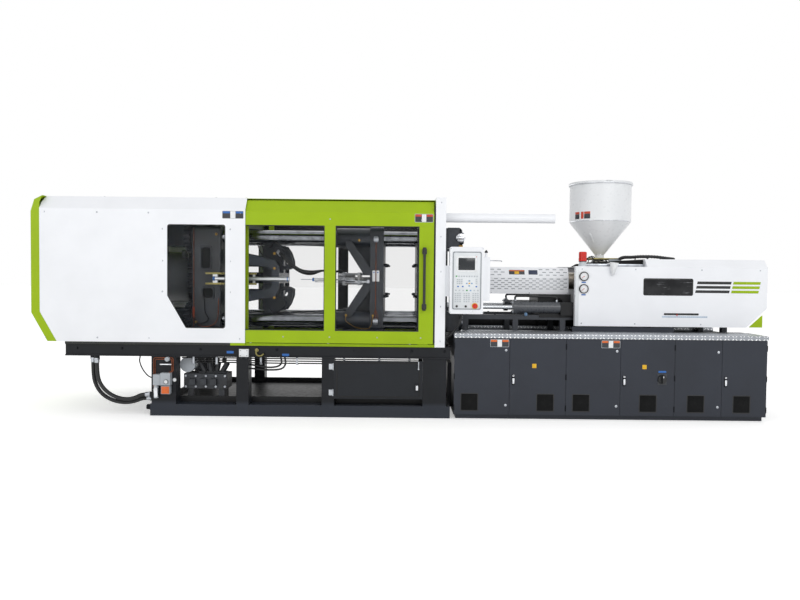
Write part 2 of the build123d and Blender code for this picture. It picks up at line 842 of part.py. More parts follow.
lower_cut = (163, 288)
upper_cut = (31, 65)
window_cut = (180, 313)
window_outline = [
    (window_left, window_bottom + window_cut[1]),
    (window_left + window_cut[0], window_bottom),
    (window_right, window_bottom),
    (window_right, window_top),
    (window_left, window_top),
]
with BuildPart() as front_cover:
    end_plate(cover_profile(), (guard_left, cover_right))
    side_plate(
        [
            (guard_left - spare * lower_cut[0], cover_bottom + (1 + spare) * lower_cut[1]),
            (guard_left + (1 + spare) * lower_cut[0], cover_bottom - spare * lower_cut[1]),
            (guard_left - spare * lower_cut[0], cover_bottom - spare * lower_cut[1]),
        ],
        (-guard_face - 10, -post_inner + 10),
        Mode.SUBTRACT,
    )
    side_plate(
        [
            (guard_left - spare * upper_cut[0], guard_top - (1 + spare) * upper_cut[1]),
            (guard_left + (1 + spare) * upper_cut[0], guard_top + spare * upper_cut[1]),
            (guard_left - spare * upper_cut[0], guard_top + spare * upper_cut[1]),
        ],
        (-guard_face - 10, -post_inner + 10),
        Mode.SUBTRACT,
    )
    side_plate(window_outline, (-guard_face - 5, -cover_inner + 5), Mode.SUBTRACT, window_corner)
finish(front_cover, "front_cover")
with BuildPart() as rear_cover:
    mirror(front_cover.part, about=Plane.XZ)
finish(rear_cover, "rear_cover")

# Clear panes behind the windows of the fixed covers
pane_lap = 20
with BuildPart() as cover_panes:
    fill_both(
        (window_left - pane_lap, window_right + pane_lap),
        (cover_inner - sheet, cover_inner),
        (window_bottom - pane_lap, window_top + pane_lap),
    )
finish(cover_panes, "cover_panes")

# End cap over the left end of the guards
cap_left_edge = guard_left - end_cap_depth
cap_outline = [
    (guard_left + upper_cut[0], guard_top),
    (guard_left - 49, guard_top - 40),
    (cap_left_edge, guard_top - 154),
    (cap_left_edge, cover_bottom + lower_cut[1] - 10),
    (guard_left + lower_cut[0] - 92, cover_bottom),
    (guard_left + lower_cut[0], cover_bottom),
    (guard_left, cover_bottom + lower_cut[1]),
    (guard_left, guard_top - upper_cut[1]),
]
cap_hollow = [
    (guard_left + 60, guard_top - sheet),
    (guard_left + upper_cut[0], guard_top - sheet),
    (guard_left - 47, guard_top - 44),
    (cap_left_edge + sheet, guard_top - 155),
    (cap_left_edge + sheet, cover_bottom + lower_cut[1] - 9),
    (guard_left + lower_cut[0] - 90, cover_bottom + sheet),
    (guard_left + lower_cut[0] + 40, cover_bottom + sheet),
    (guard_left + 60, cover_bottom + lower_cut[1]),
]
with BuildPart() as end_cap:
    side_plate(cap_outline, (-cover_inner, cover_inner))
    side_plate(cap_hollow, (-cover_inner + sheet, cover_inner - sheet), Mode.SUBTRACT)
    for number in range(7):
        slot_z = 1250 + 60 * number
        fill((cap_left_edge - 5, -260, slot_z), (cap_left_edge + 10, 260, slot_z + 22), Mode.SUBTRACT)
finish(end_cap, "end_cap")

# Guard frame: door tracks, posts, roof beams and the roof over the toggle
posts = ((base_left + 2, base_left + 62), (-1560, -1505), (282, end_panel_left))
track_left = base_left
with BuildPart() as guard_frame:
    fill_both((track_left, end_panel_left), (rail_inner, cover_inner), (beam_top, beam_top + 6))
    fill_both((track_left, end_panel_left), rail_head, (beam_top + 6, rail_head_top))
    fill_both((track_left, cover_right), (cover_inner - 5, cover_inner), (beam_top + 6, cover_bottom + 10))
    fill_both((guard_left + 20, end_panel_left), (post_inner - 10, post_outer), (beam_low, beam_high))
    fill_both((guard_left + 40, end_panel_left), (post_inner - 10, post_inner - 6), (beam_high, roof_under))
    for left, right in posts:
        fill_both((left, right), (post_inner, post_outer), (beam_top, beam_low))
        fill((left, -post_inner + 10, beam_low), (right, post_inner - 10, beam_high))
    fill((guard_left + 40, -lean_top + 6, roof_under - sheet), (cover_right, lean_top - 6, roof_under))
    roof_edge = (post_inner - 10, lean_top - 6)
    fill_both((cover_right, end_panel_left), roof_edge, (roof_under - sheet, roof_under))
finish(guard_frame, "guard_frame")

# End panels beside the stationary platen, bridged above it, with the service tube
panel_top_z = guard_top + 15
leg_inner = 790
tube_y = -650
tube_z = 1980
with BuildPart() as end_panels:
    fill_both((end_panel_left, end_panel_right), (leg_inner, guard_face), (beam_top, panel_top_z))
    fill((end_panel_left, -leg_inner, 2060), (end_panel_right, leg_inner, panel_top_z))
    fill_both((end_panel_left, end_panel_left + sheet), (half_platen + 5, leg_inner), (beam_top, 2060))
    fill(
        (end_panel_left, -half_platen - 5, clamp_height + half_platen + 8),
        (end_panel_left + sheet, half_platen + 5, 2060),
    )
    bar_x((end_panel_left + sheet, service_tube_end - 104), tube_y, tube_z, service_tube_radius)
finish(end_panels, "end_panels")


def door_frame():
    """Build a sliding safety door on the operator's side: kick panel, uprights and folded top."""
    upright_edges = [door_left, *(edge for window in door_window_edges for edge in window), door_right]
    with BuildPart() as door:
        fill((door_left, -door_face, door_bottom), (door_right, -door_back, door_window_bottom))
        for left, right in zip(upright_edges[::2], upright_edges[1::2]):
            fill(
                (left, -door_face, door_window_bottom + seat_gap),
                (right, -door_back, door_window_top - seat_gap),
            )
        end_plate(
            [
                (-door_face, door_window_top),
                (-door_face, door_fold),
                (door_gap - lean_top, door_top),
                (30 - lean_top, door_top - 18),
                (-door_back, door_fold - 6),
                (-door_back, door_window_top),
            ],
            (door_left, door_right),
        )
        for left in (door_left + 50, door_right - 150):
            fill(
                (left, -rail_head[1], rail_head_top + seat_gap),
                (left + 100, -rail_head[0], door_bottom),
            )
    return door


def door_panes():
    """Build the clear panes behind the windows of a sliding door."""
    with BuildPart() as panes:
        for left, right in door_window_edges:
            fill(
                (left - door_pane_lap, -door_back, door_window_bottom - door_pane_lap),
                (right + door_pane_lap, sheet - door_back, door_window_top + door_pane_lap),
            )
    return panes


# Safety doors on both sides, with their panes and the pull handle
front_door = door_frame()
finish(front_door, "front_door")
front_panes = door_panes()
finish(front_panes, "front_door_panes")
with BuildPart() as rear_door:
    mirror(front_door.part, about=Plane.XZ)
finish(rear_door, "rear_door")
with BuildPart() as rear_door_panes:
    mirror(front_panes.part, about=Plane.XZ)
finish(rear_door_panes, "rear_door_panes")
handle_stand = 55
with BuildPart() as front_door_handle:
    fill(
        (handle_x - 13, -door_face - handle_stand, handle_bottom),
        (handle_x + 13, 24 - door_face - handle_stand, handle_top),
    )
    for z in (handle_bottom, handle_top - 46):
        fill((handle_x - 22, -door_face - handle_stand, z), (handle_x + 22, -door_face, z + 46))
    fillet(front_door_handle.edges().filter_by(Axis.Z), 5)
finish(front_door_handle, "front_door_handle")

# Lubrication unit on the left column: pump box, terminal box, cup, reservoir and drum
lube_face = -base_half_width
with BuildPart() as lube_unit:
    fill((-2396, lube_face - 60, 308), (-2327, lube_face, 412))
    fill((-2323, lube_face - 66, 308), (-2228, lube_face, 428))
    fill((-2318, lube_face - 58, 222), (-2234, lube_face, 300))
    bar_z(-2374, lube_face - 30, (180, 300), 22)
    fill((-2384, lube_face - 12, 190), (-2364, lube_face, 290))
    bar_y(-2266, (lube_face - 40, lube_face), 560, 22)
    bar_y(-2190 + 76, (-700, -560), 490, 76)
finish(lube_unit, "lube_unit")

# Valve manifold on feet in the tray, with upright and leaning solenoids
manifold_low = (-2150, -700, 250)
manifold_high = (-1720, -480, 400)
with BuildPart() as valve_manifold:
    fill(manifold_low, manifold_high)
    for x in (-2120, -1810):
        fill((x, -670, tray_floor), (x + 60, -500, manifold_low[2]))
    for number, x in enumerate((-1980, -1905, -1835, -1765)):
        with Locations(Location((x, -620, manifold_high[2] + 45), (0, -25 + 18 * number, 0))):
            Cylinder(27, 130)
        fill((x - 34, -655, manifold_high[2] - 60), (x + 34, -585, manifold_high[2] + 18))
    for x in (-2060, -1950, -1850):
        fill((x - 30, -735, 290), (x + 30, -700, 350))
finish(valve_manifold, "valve_manifold")


def hose(route, y):
    """Sweep a hose along straight runs joined by arcs, through x, z points."""
    points = [Vector(x, y, z) for x, z in route]
    radii = []
    for before, at, after in zip(points, points[1:], points[2:]):
        turn = (at - before).get_angle(after - at)
        shorter = min((at - before).length, (after - at).length)
        radii.append(0.45 * shorter / math.tan(math.radians(turn / 2)))
    with BuildPart() as tube:
        with BuildLine() as path:
            FilletPolyline(*points, radius=radii)
        with BuildSketch(Plane(origin=points[0], z_dir=points[1] - points[0])) as section:
            Circle(hose_radius)
        sweep(section.sketch, path=path.wires()[0])
    length = path.wires()[0].length
    print("hose length", round(length), "smallest radius", round(min(radii)))
    print("hose volume ratio", round(tube.part.volume / (math.pi * hose_radius**2 * length), 4))
    return tube


# Return hoses that hang free under the left end, from the beam to the left column
hose_radius = 19
outer_route = [
    outer_hose_start,
    (-3040, 430),
    (-3026, 305),
    (-2960, 195),
    (-2850, 128),
    (-2722, 106),
    (-2620, 124),
    (-2545, 158),
    outer_hose_end,
]
inner_route = [
    inner_hose_start,
    (-2983, 440),
    (-2968, 328),
    (-2905, 235),
    (-2808, 172),
    (-2700, 148),
    (-2610, 164),
    (-2540, 202),
    inner_hose_end,
]
finish(hose(outer_route, outer_hose_y), "outer_hose")
finish(hose(inner_route, inner_hose_y), "inner_hose")

# Cabinet body under the injection unit: shell, door openings, plinth, rear panels
cabinet_edges = [cabinet_left]
for width in cabinet_widths:
    cabinet_edges.append(cabinet_edges[-1] + width)
pair_edges = [(cabinet_edges[2 * n], cabinet_edges[2 * n + 2]) for n in range(3)]
with BuildPart() as cabinet_body:
    fill((cabinet_left, -cabinet_half, plinth_height), (cabinet_right, cabinet_half, cabinet_top))
    fill(
        (cabinet_left + cabinet_wall, cabinet_wall - cabinet_half, plinth_height + cabinet_wall),
        (cabinet_right - cabinet_wall, cabinet_half - cabinet_wall, cabinet_top - cabinet_wall),
        Mode.SUBTRACT,
    )
    for left, right in pair_edges:
        fill(
            (left + 35, -cabinet_half, plinth_height + 40),
            (right - 35, cabinet_wall - cabinet_half, cabinet_top - 40),
            Mode.SUBTRACT,
        )
        fill(
            (left + 3, cabinet_half, plinth_height + 5),
            (right - 3, cabinet_half + cabinet_skin, cabinet_top - 4),
        )
    fill(
        (cabinet_left + plinth_inset, plinth_inset - cabinet_half, 0),
        (cabinet_right - plinth_inset, cabinet_half - plinth_inset, plinth_height),
    )
    fill_both((1780, 2828), (415, tread_inner - 5), (cabinet_top, 888))
    fill((base_right, -400, plinth_height), (cabinet_left, 400, 500))
finish(cabinet_body, "cabinet_body")

# Tread plates along both sides of the cabinet top
with BuildPart() as tread_plates:
    fill_both((cabinet_left, cabinet_right + 6), (tread_inner, guard_face + 6), (cabinet_top, tread_top))
    fill_both(
        (cabinet_left + sheet, cabinet_right + 6 - sheet),
        (tread_inner + sheet, guard_face + 6 - sheet),
        (cabinet_top, tread_top - sheet),
        Mode.SUBTRACT,
    )
    fill_both(
        (cabinet_left, tie_bar_right + 10),
        (tread_inner, half_spacing + nut_hub_radius + 10),
        (cabinet_top, tread_top),
        Mode.SUBTRACT,
    )
finish(tread_plates, "tread_plates")

# Cabinet doors in three pairs, each hinged at its outer edge
grille_low = 76
grille_rows = 10
grille_places = (688, 1430, 1780, 2435, 2902, 3352)
for number, width in enumerate(cabinet_widths):
    left = cabinet_edges[number] + cabinet_door_gap / 2
    right = cabinet_edges[number + 1] - cabinet_door_gap / 2
    with BuildPart() as cabinet_door:
        fill(
            (left, -guard_face, plinth_height + 5),
            (right, -cabinet_half - seat_gap, cabinet_top - 4),
        )
        grille_x = grille_places[number]
        for row in range(grille_rows):
            slot_z = grille_low + 12 + row * 17
            fill(
                (grille_x - 72, -guard_face - 1, slot_z),
                (grille_x + 72, -cabinet_half, slot_z + 8),
                Mode.SUBTRACT,
            )
    finish(cabinet_door, f"cabinet_door_{number + 1}")

# Main switch on the fourth door
switch_x = 2571
switch_z = 410
switch_radius = 42
with BuildPart() as main_switch:
    bar_y(switch_x, (-guard_face - 14, -guard_face - seat_gap), switch_z, switch_radius)
    fill(
        (switch_x - 9, -guard_face - 44, switch_z + 4 - switch_radius),
        (switch_x + 9, -guard_face - 14, switch_z - 4 + switch_radius),
    )
finish(main_switch, "main_switch")

# Power unit inside the cabinet: oil tank, motor, pump and the electrical plate
floor_z = plinth_height + cabinet_wall
with BuildPart() as power_unit:
    fill((2450, -560, floor_z), (3480, 560, 520))
    fillet(power_unit.edges().filter_by(Axis.Z), 30)
    bar_x((1600, 2150), 0, 330, 165)
    fill((1640, -150, floor_z), (2110, 150, 200))
    bar_x((2150, 2330), 0, 330, 80)
    fill((2330, -60, 270), (2450, 60, 390))
    fill((640, -430, floor_z), (1380, -400, 700))
    for row in range(3):
        for column in range(3):
            left = 680 + 230 * column
            low = 120 + 190 * row
            fill((left, -510, low), (left + 190, -430, low + 140))
finish(power_unit, "power_unit")

# Ground ways on the clamp base, injection rails on posts, and fixed carriage rods
post_places = (690, 1210, 1705, 2600, 3400)
carriage_piston = (1205, 1245)
with BuildPart() as guide_ways:
    fill_both((-2480, stationary_face - 6), (way_inner, way_outer), (beam_top, way_top))
    fill_both(
        (rail_left + 100, rail_right),
        (rail_y - rail_width / 2, rail_y + rail_width / 2),
        (rail_top - rail_height, rail_top),
    )
    for x in post_places:
        fill_both(
            (x - 28, x + 28),
            (rail_y - rail_width / 2, rail_y + rail_width / 2),
            (cabinet_top, rail_top - rail_height),
        )
    for side in (-1, 1):
        rod_y = side * carriage_cylinder_y
        bar_x((stationary_back, carriage_piston[1]), rod_y, carriage_cylinder_z, carriage_rod_radius)
        bar_x(carriage_piston, rod_y, carriage_cylinder_z, carriage_cylinder_radius - 12)
finish(guide_ways, "guide_ways")

# Carriage base: front bracket, sliding shoes, base plate, feed housing
bracket_left = 1456
bracket_top = barrel_cover_bottom
shoe_z = rail_top + seat_gap
plate_top = 1040
plate_half = injection_cover_half - sheet
keeper_layer = (rail_y + rail_width / 2 + 1, rail_y + rail_width / 2 + 9)
with BuildPart() as carriage_base:
    fill((bracket_left, -262, shoe_z), (injection_cover_left, 262, bracket_top))
    fill_both((bracket_left, injection_cover_left), (262, 336), (shoe_z, shoe_z + 18))
    fill_both((carriage_cylinder_right, injection_cover_left), (262, 388), (shoe_z, 1138))
    fill((injection_cover_left, -rail_y, shoe_z), (injection_cover_left + sheet, rail_y, plate_top))
    fill((injection_cover_left + sheet, -plate_half, shoe_z), (rail_right - 30, plate_half, plate_top))
    fill((1690, -55, bracket_top), (1745, 55, clamp_height - barrel_radius + 1))
    fill((feed_left, -190, plate_top), (feed_right, 190, feed_top))
    fill((feed_right - 45, -330, clamp_height - 90), (feed_right, 330, clamp_height + 90))
    bar_x((1600, feed_right), 0, clamp_height, barrel_radius + fit_gap, Mode.SUBTRACT)
    bar_z(hopper_x, 0, (clamp_height, feed_top), 50, Mode.SUBTRACT)
    fill_both((bracket_left, rail_right - 30), keeper_layer, (shoe_z - 25, shoe_z))
finish(carriage_base, "carriage_base")

# Barrel with its head, nozzle and heater bands
nozzle_x = nozzle_tip + 140
band_width = 78
with BuildPart() as barrel:
    bar_x((barrel_left, feed_right - 2), 0, clamp_height, barrel_radius)
    bar_x((nozzle_x, barrel_left), 0, clamp_height, barrel_radius - 14)
    with Locations(Location(((nozzle_tip + nozzle_x) / 2, 0, clamp_height), (0, 90, 0))):
        Cone(nozzle_radius, 48, nozzle_x - nozzle_tip)
    for number in range(9):
        left = barrel_left + 30 + number * 100
        bar_x((left, left + band_width), 0, clamp_height, band_radius)
    bar_x((nozzle_x + 20, feed_right), 0, clamp_height, screw_radius + running_gap, Mode.SUBTRACT)
    bar_x((nozzle_tip, nozzle_x + 20), 0, clamp_height, 6, Mode.SUBTRACT)
    bar_z(hopper_x, 0, (clamp_height, clamp_height + barrel_radius), 48, Mode.SUBTRACT)
finish(barrel, "barrel")

# Perforated cover over the barrel, open below
cover_section = [
    (-barrel_cover_half, barrel_cover_bottom),
    (-barrel_cover_half, barrel_cover_bend),
    (-barrel_cover_half + 45, barrel_cover_top),
    (barrel_cover_half - 45, barrel_cover_top),
    (barrel_cover_half, barrel_cover_bend),
    (barrel_cover_half, barrel_cover_bottom),
]
cover_hollow = [
    (-barrel_cover_half + sheet, barrel_cover_bottom),
    (-barrel_cover_half + sheet, barrel_cover_bend - 1),
    (-barrel_cover_half + 48, barrel_cover_top - sheet),
    (barrel_cover_half - 48, barrel_cover_top - sheet),
    (barrel_cover_half - sheet, barrel_cover_bend - 1),
    (barrel_cover_half - sheet, barrel_cover_bottom),
]
with BuildPart() as barrel_cover:
    end_plate(cover_section, (barrel_cover_left, barrel_cover_right))
    end_plate(cover_hollow, (barrel_cover_left, barrel_cover_right), Mode.SUBTRACT)
finish(barrel_cover, "barrel_cover")

# Hopper: round bin, cone and neck on a flange
wall = 4
with BuildPart() as hopper:
    with BuildSketch(Plane(origin=(hopper_x, 0, 0), x_dir=(1, 0, 0), z_dir=(0, -1, 0))):
        with BuildLine():
            Polyline(
                (hopper_neck_radius, feed_top),
                (hopper_neck_radius + 40, feed_top),
                (hopper_neck_radius + 40, feed_top + 12),
                (hopper_neck_radius + wall, feed_top + 12),
                (hopper_neck_radius + wall, hopper_neck_top),
                (hopper_radius, hopper_shoulder),
                (hopper_radius, hopper_top - 12),
                (hopper_rim_radius, hopper_top - 12),
                (hopper_rim_radius, hopper_top),
                (hopper_radius - wall, hopper_top),
                (hopper_radius - wall, hopper_shoulder),
                (hopper_neck_radius, hopper_neck_top),
                close=True,
            )
        make_face()
    revolve(axis=Axis((hopper_x, 0, 0), (0, 0, 1)))
finish(hopper, "hopper")

# Hopper lid, hinged at the back of the rim
with BuildPart() as hopper_lid:
    bar_z(hopper_x, 0, (hopper_top + seat_gap, hopper_top + 10), hopper_rim_radius - 2)
    fill(
        (hopper_x - 30, -hopper_rim_radius - 8, hopper_top + 3),
        (hopper_x + 30, -hopper_rim_radius + 30, hopper_top + 10),
    )
finish(hopper_lid, "hopper_lid")

# Injection cover: side sheets, chamfered top, end wall and the step at the throat
cover_out = [
    (-injection_cover_half, injection_cover_bottom),
    (-injection_cover_half, injection_cover_fold),
    (-injection_cover_half + 80, injection_cover_top),
    (injection_cover_half - 80, injection_cover_top),
    (injection_cover_half, injection_cover_fold),
    (injection_cover_half, injection_cover_bottom),
]
cover_in = [
    (-injection_cover_half + sheet, injection_cover_bottom),
    (-injection_cover_half + sheet, injection_cover_fold - 2),
    (-injection_cover_half + 82, injection_cover_top - sheet),
    (injection_cover_half - 82, injection_cover_top - sheet),
    (injection_cover_half - sheet, injection_cover_fold - 2),
    (injection_cover_half - sheet, injection_cover_bottom),
]
corner_run = (207, 197)
with BuildPart() as injection_cover:
    end_plate(cover_out, (throat_right, injection_cover_right))
    end_plate(cover_in, (throat_right - 1, injection_cover_right - sheet), Mode.SUBTRACT)
    fill_both(
        (injection_cover_left, throat_right),
        (injection_cover_half - sheet, injection_cover_half),
        (injection_cover_bottom, throat_top - sheet),
    )
    fill_both(
        (injection_cover_left, throat_right),
        (injection_cover_half - 100, injection_cover_half),
        (throat_top - sheet, throat_top),
    )
    fill_both(
        (injection_cover_left, injection_cover_left + sheet),
        (injection_cover_half - 50, injection_cover_half - sheet),
        (injection_cover_bottom, throat_top - sheet),
    )
    end_plate(cover_in[1:5], (throat_right, throat_right + sheet))
    side_plate(
        [
            (injection_cover_right - corner_run[0] - 10.5, injection_cover_bottom - 10),
            (injection_cover_right + 10.5, injection_cover_bottom + corner_run[1] + 10),
            (injection_cover_right + 10.5, injection_cover_bottom - 10),
        ],
        (-injection_cover_half - 10, injection_cover_half + 10),
        Mode.SUBTRACT,
    )
finish(injection_cover, "injection_cover")

# Cylinders on the carriage: two that pull it to the mould and two that push the screw
injection_cylinder_y = 260
injection_cylinder_right = 2690
with BuildPart() as cylinders:
    for side in (-1, 1):
        y = side * carriage_cylinder_y
        tube = (carriage_cylinder_left, carriage_cylinder_right)
        bar_x(tube, y, carriage_cylinder_z, carriage_cylinder_radius)
        bar_x((carriage_cylinder_left, carriage_cylinder_left + 44), y, carriage_cylinder_z, 70)
        bar_x(
            (carriage_cylinder_left + 20, carriage_cylinder_right - 20),
            y,
            carriage_cylinder_z,
            carriage_cylinder_radius - 12 + running_gap,
            Mode.SUBTRACT,
        )
        bar_x(
            (carriage_cylinder_left, carriage_cylinder_left + 20),
            y,
            carriage_cylinder_z,
            carriage_rod_radius + running_gap,
            Mode.SUBTRACT,
        )
        y = side * injection_cylinder_y
        bar_x((feed_right, injection_cylinder_right), y, clamp_height, 66)
        gland = injection_cylinder_right - 12
        bar_x((feed_right + 20, gland), y, clamp_height, 50 + running_gap, Mode.SUBTRACT)
        bar_x((gland, injection_cylinder_right), y, clamp_height, 30 + running_gap, Mode.SUBTRACT)
finish(cylinders, "cylinders")

# Screw drive: rear plate, hydraulic motor and the injection rods with their pistons
drive_left = 2700
drive_right = 2760
with BuildPart() as screw_drive:
    fill((drive_left, -330, clamp_height - 160), (drive_right, 330, clamp_height + 160))
    fillet(screw_drive.edges().filter_by(Axis.X), 30)
    bar_x((drive_right, drive_right + 300), 0, clamp_height, 120)
    bar_x((drive_left, drive_right), 0, clamp_height, screw_radius - 4 + running_gap, Mode.SUBTRACT)
    for side in (-1, 1):
        y = side * injection_cylinder_y
        bar_x((feed_right + 30, drive_left), y, clamp_height, 30)
        bar_x((feed_right + 30, feed_right + 60), y, clamp_height, 50)
finish(screw_drive, "screw_drive")

# Plasticising screw, turned by the motor
screw_left = nozzle_x + 40
with BuildPart() as screw:
    bar_x((screw_left, feed_right - 40), 0, clamp_height, screw_radius - 6)
    for number in range(18):
        left = screw_left + 20 + number * 84
        bar_x((left, left + 9), 0, clamp_height, screw_radius)
    bar_x((feed_right - 40, drive_left), 0, clamp_height, screw_radius)
    bar_x((drive_left, drive_right - seat_gap), 0, clamp_height, screw_radius - 4)
finish(screw, "screw")

# Beacon on the front edge of the throat
beacon_x = 1885
beacon_y = -400
with BuildPart() as beacon:
    bar_z(beacon_x, beacon_y, (throat_top, throat_top + 52), 34)
    bar_z(beacon_x, beacon_y, (throat_top + 52, throat_top + 150), 40)
    fillet(beacon.edges().group_by(Axis.Z)[-1], 12)
finish(beacon, "beacon")

# Control panel: housing on an arm, raised fascia with a sunken screen
panel_back = panel_face - panel_depth
with BuildPart() as control_panel:
    fill((panel_left, -panel_face, panel_bottom), (panel_right, -panel_back, panel_top))
    fillet(control_panel.edges().filter_by(Axis.Y), 14)
    fill((508, -panel_face - 4, 1082), (776, -panel_face, 1630))
    fill((554, -panel_face - 4, 1453), (722, -panel_face - 1, 1578), Mode.SUBTRACT)
    fill((end_panel_right, -guard_face + 10, 1200), (panel_left, -leg_inner - 5, 1500))
    bar_y(stop_x, (-panel_face - 4, -panel_face + 24), stop_z, 8 + running_gap, Mode.SUBTRACT)
finish(control_panel, "control_panel")

# Emergency stop button
with BuildPart() as stop_button:
    bar_y(stop_x, (-panel_face - 14 - 14, -panel_face - 14), stop_z, stop_radius)
    fillet(stop_button.edges().group_by(Axis.Y)[0], 6)
    bar_y(stop_x, (-panel_face - 14, -panel_face + 12), stop_z, 8)
finish(stop_button, "stop_button")

# Purge guard beside the control panel, folded back towards the platen
purge_left = panel_right + seat_gap
purge_right = 872
purge_face = 874
purge_bottom = 1160
purge_top = 1586
purge_back = 600
purge_lip = 38
purge_knob_radius = 13
with BuildPart() as purge_guard:
    fill((purge_left, -purge_face, purge_bottom), (purge_right, sheet - purge_face, purge_top))
    fill((purge_right - sheet, -purge_face, purge_bottom), (purge_right, -purge_back, purge_top))
    fill((purge_left, -purge_face, purge_top - sheet), (purge_right, purge_lip - purge_face, purge_top))
    bar_z(purge_left + 30, purge_lip / 2 - purge_face, (purge_top, purge_top + 40), purge_knob_radius)
finish(purge_guard, "purge_guard")
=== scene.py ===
"""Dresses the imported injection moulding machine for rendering.

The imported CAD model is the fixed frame: every piece made here is in metres, in the model's own
frame, and rides on one of its bodies. Each sub-assembly of the machine is a class that adds its
pieces; finishes are small frozen classes that build procedural materials.
"""

import logging
import math
from dataclasses import dataclass
from enum import Enum
from typing import Sequence

import bmesh
import bpy
from mathutils import Matrix, Vector

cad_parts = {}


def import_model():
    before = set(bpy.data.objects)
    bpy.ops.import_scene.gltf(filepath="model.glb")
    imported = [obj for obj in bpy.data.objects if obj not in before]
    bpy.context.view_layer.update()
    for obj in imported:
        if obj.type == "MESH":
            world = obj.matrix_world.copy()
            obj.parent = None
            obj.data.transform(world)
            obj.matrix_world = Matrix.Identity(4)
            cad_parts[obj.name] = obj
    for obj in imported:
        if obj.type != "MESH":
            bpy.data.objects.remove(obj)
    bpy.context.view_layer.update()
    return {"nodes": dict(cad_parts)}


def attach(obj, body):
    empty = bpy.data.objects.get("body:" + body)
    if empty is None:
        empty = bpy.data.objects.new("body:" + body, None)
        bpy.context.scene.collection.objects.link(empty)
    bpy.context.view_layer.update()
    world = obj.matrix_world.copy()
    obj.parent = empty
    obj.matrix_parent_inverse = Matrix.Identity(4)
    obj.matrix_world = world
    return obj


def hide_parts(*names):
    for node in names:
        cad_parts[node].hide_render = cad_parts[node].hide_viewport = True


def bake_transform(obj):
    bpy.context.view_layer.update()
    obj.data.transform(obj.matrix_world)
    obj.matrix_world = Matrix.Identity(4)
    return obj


log = logging.getLogger("machine")

Point = tuple[float, float, float]
Pair = tuple[float, float]
Socket = bpy.types.NodeSocket
Material = bpy.types.Material

FRONT = -0.85
CLAMP_HEIGHT = 1.358
TIE_BAR_OFFSET = 0.4275
PLATEN_HALF = 0.53
DOOR_FACE = -0.8501
BEAM_FACE = -0.8302
REAR_FACE = 0.8471
BARREL_COVER_HALF = 0.1652
BARREL_COVER_EDGE = 1.39
HOPPER_X = 2.164
SIDES = ((-1, "front"), (1, "rear"))
SMOOTH_DEGREES = 40
TURN_SEED = 7


class Axis(Enum):
    """The direction that a round or flat piece faces."""

    RIGHT = (1, 0, 0)
    LEFT = (-1, 0, 0)
    BACK = (0, 1, 0)
    FRONT = (0, -1, 0)
    UP = (0, 0, 1)
    DOWN = (0, 0, -1)

    def turn(self) -> Matrix:
        """Give the rotation that takes +Z to this direction."""
        return Vector((0, 0, 1)).rotation_difference(Vector(self.value)).to_matrix().to_4x4()


AWAY = {-1: Axis.FRONT, 1: Axis.BACK}


def linear(colour: str) -> tuple[float, float, float, float]:
    """Turn an sRGB hex colour into linear values.

    Args:
        colour: six hex digits, such as "a6c211".

    Returns:
        Linear red, green and blue, and an alpha of 1.
    """
    shares = [int(colour[start:start + 2], 16) / 255 for start in (0, 2, 4)]
    red, green, blue = (s / 12.92 if s <= 0.04045 else ((s + 0.055) / 1.055) ** 2.4 for s in shares)
    return red, green, blue, 1.0


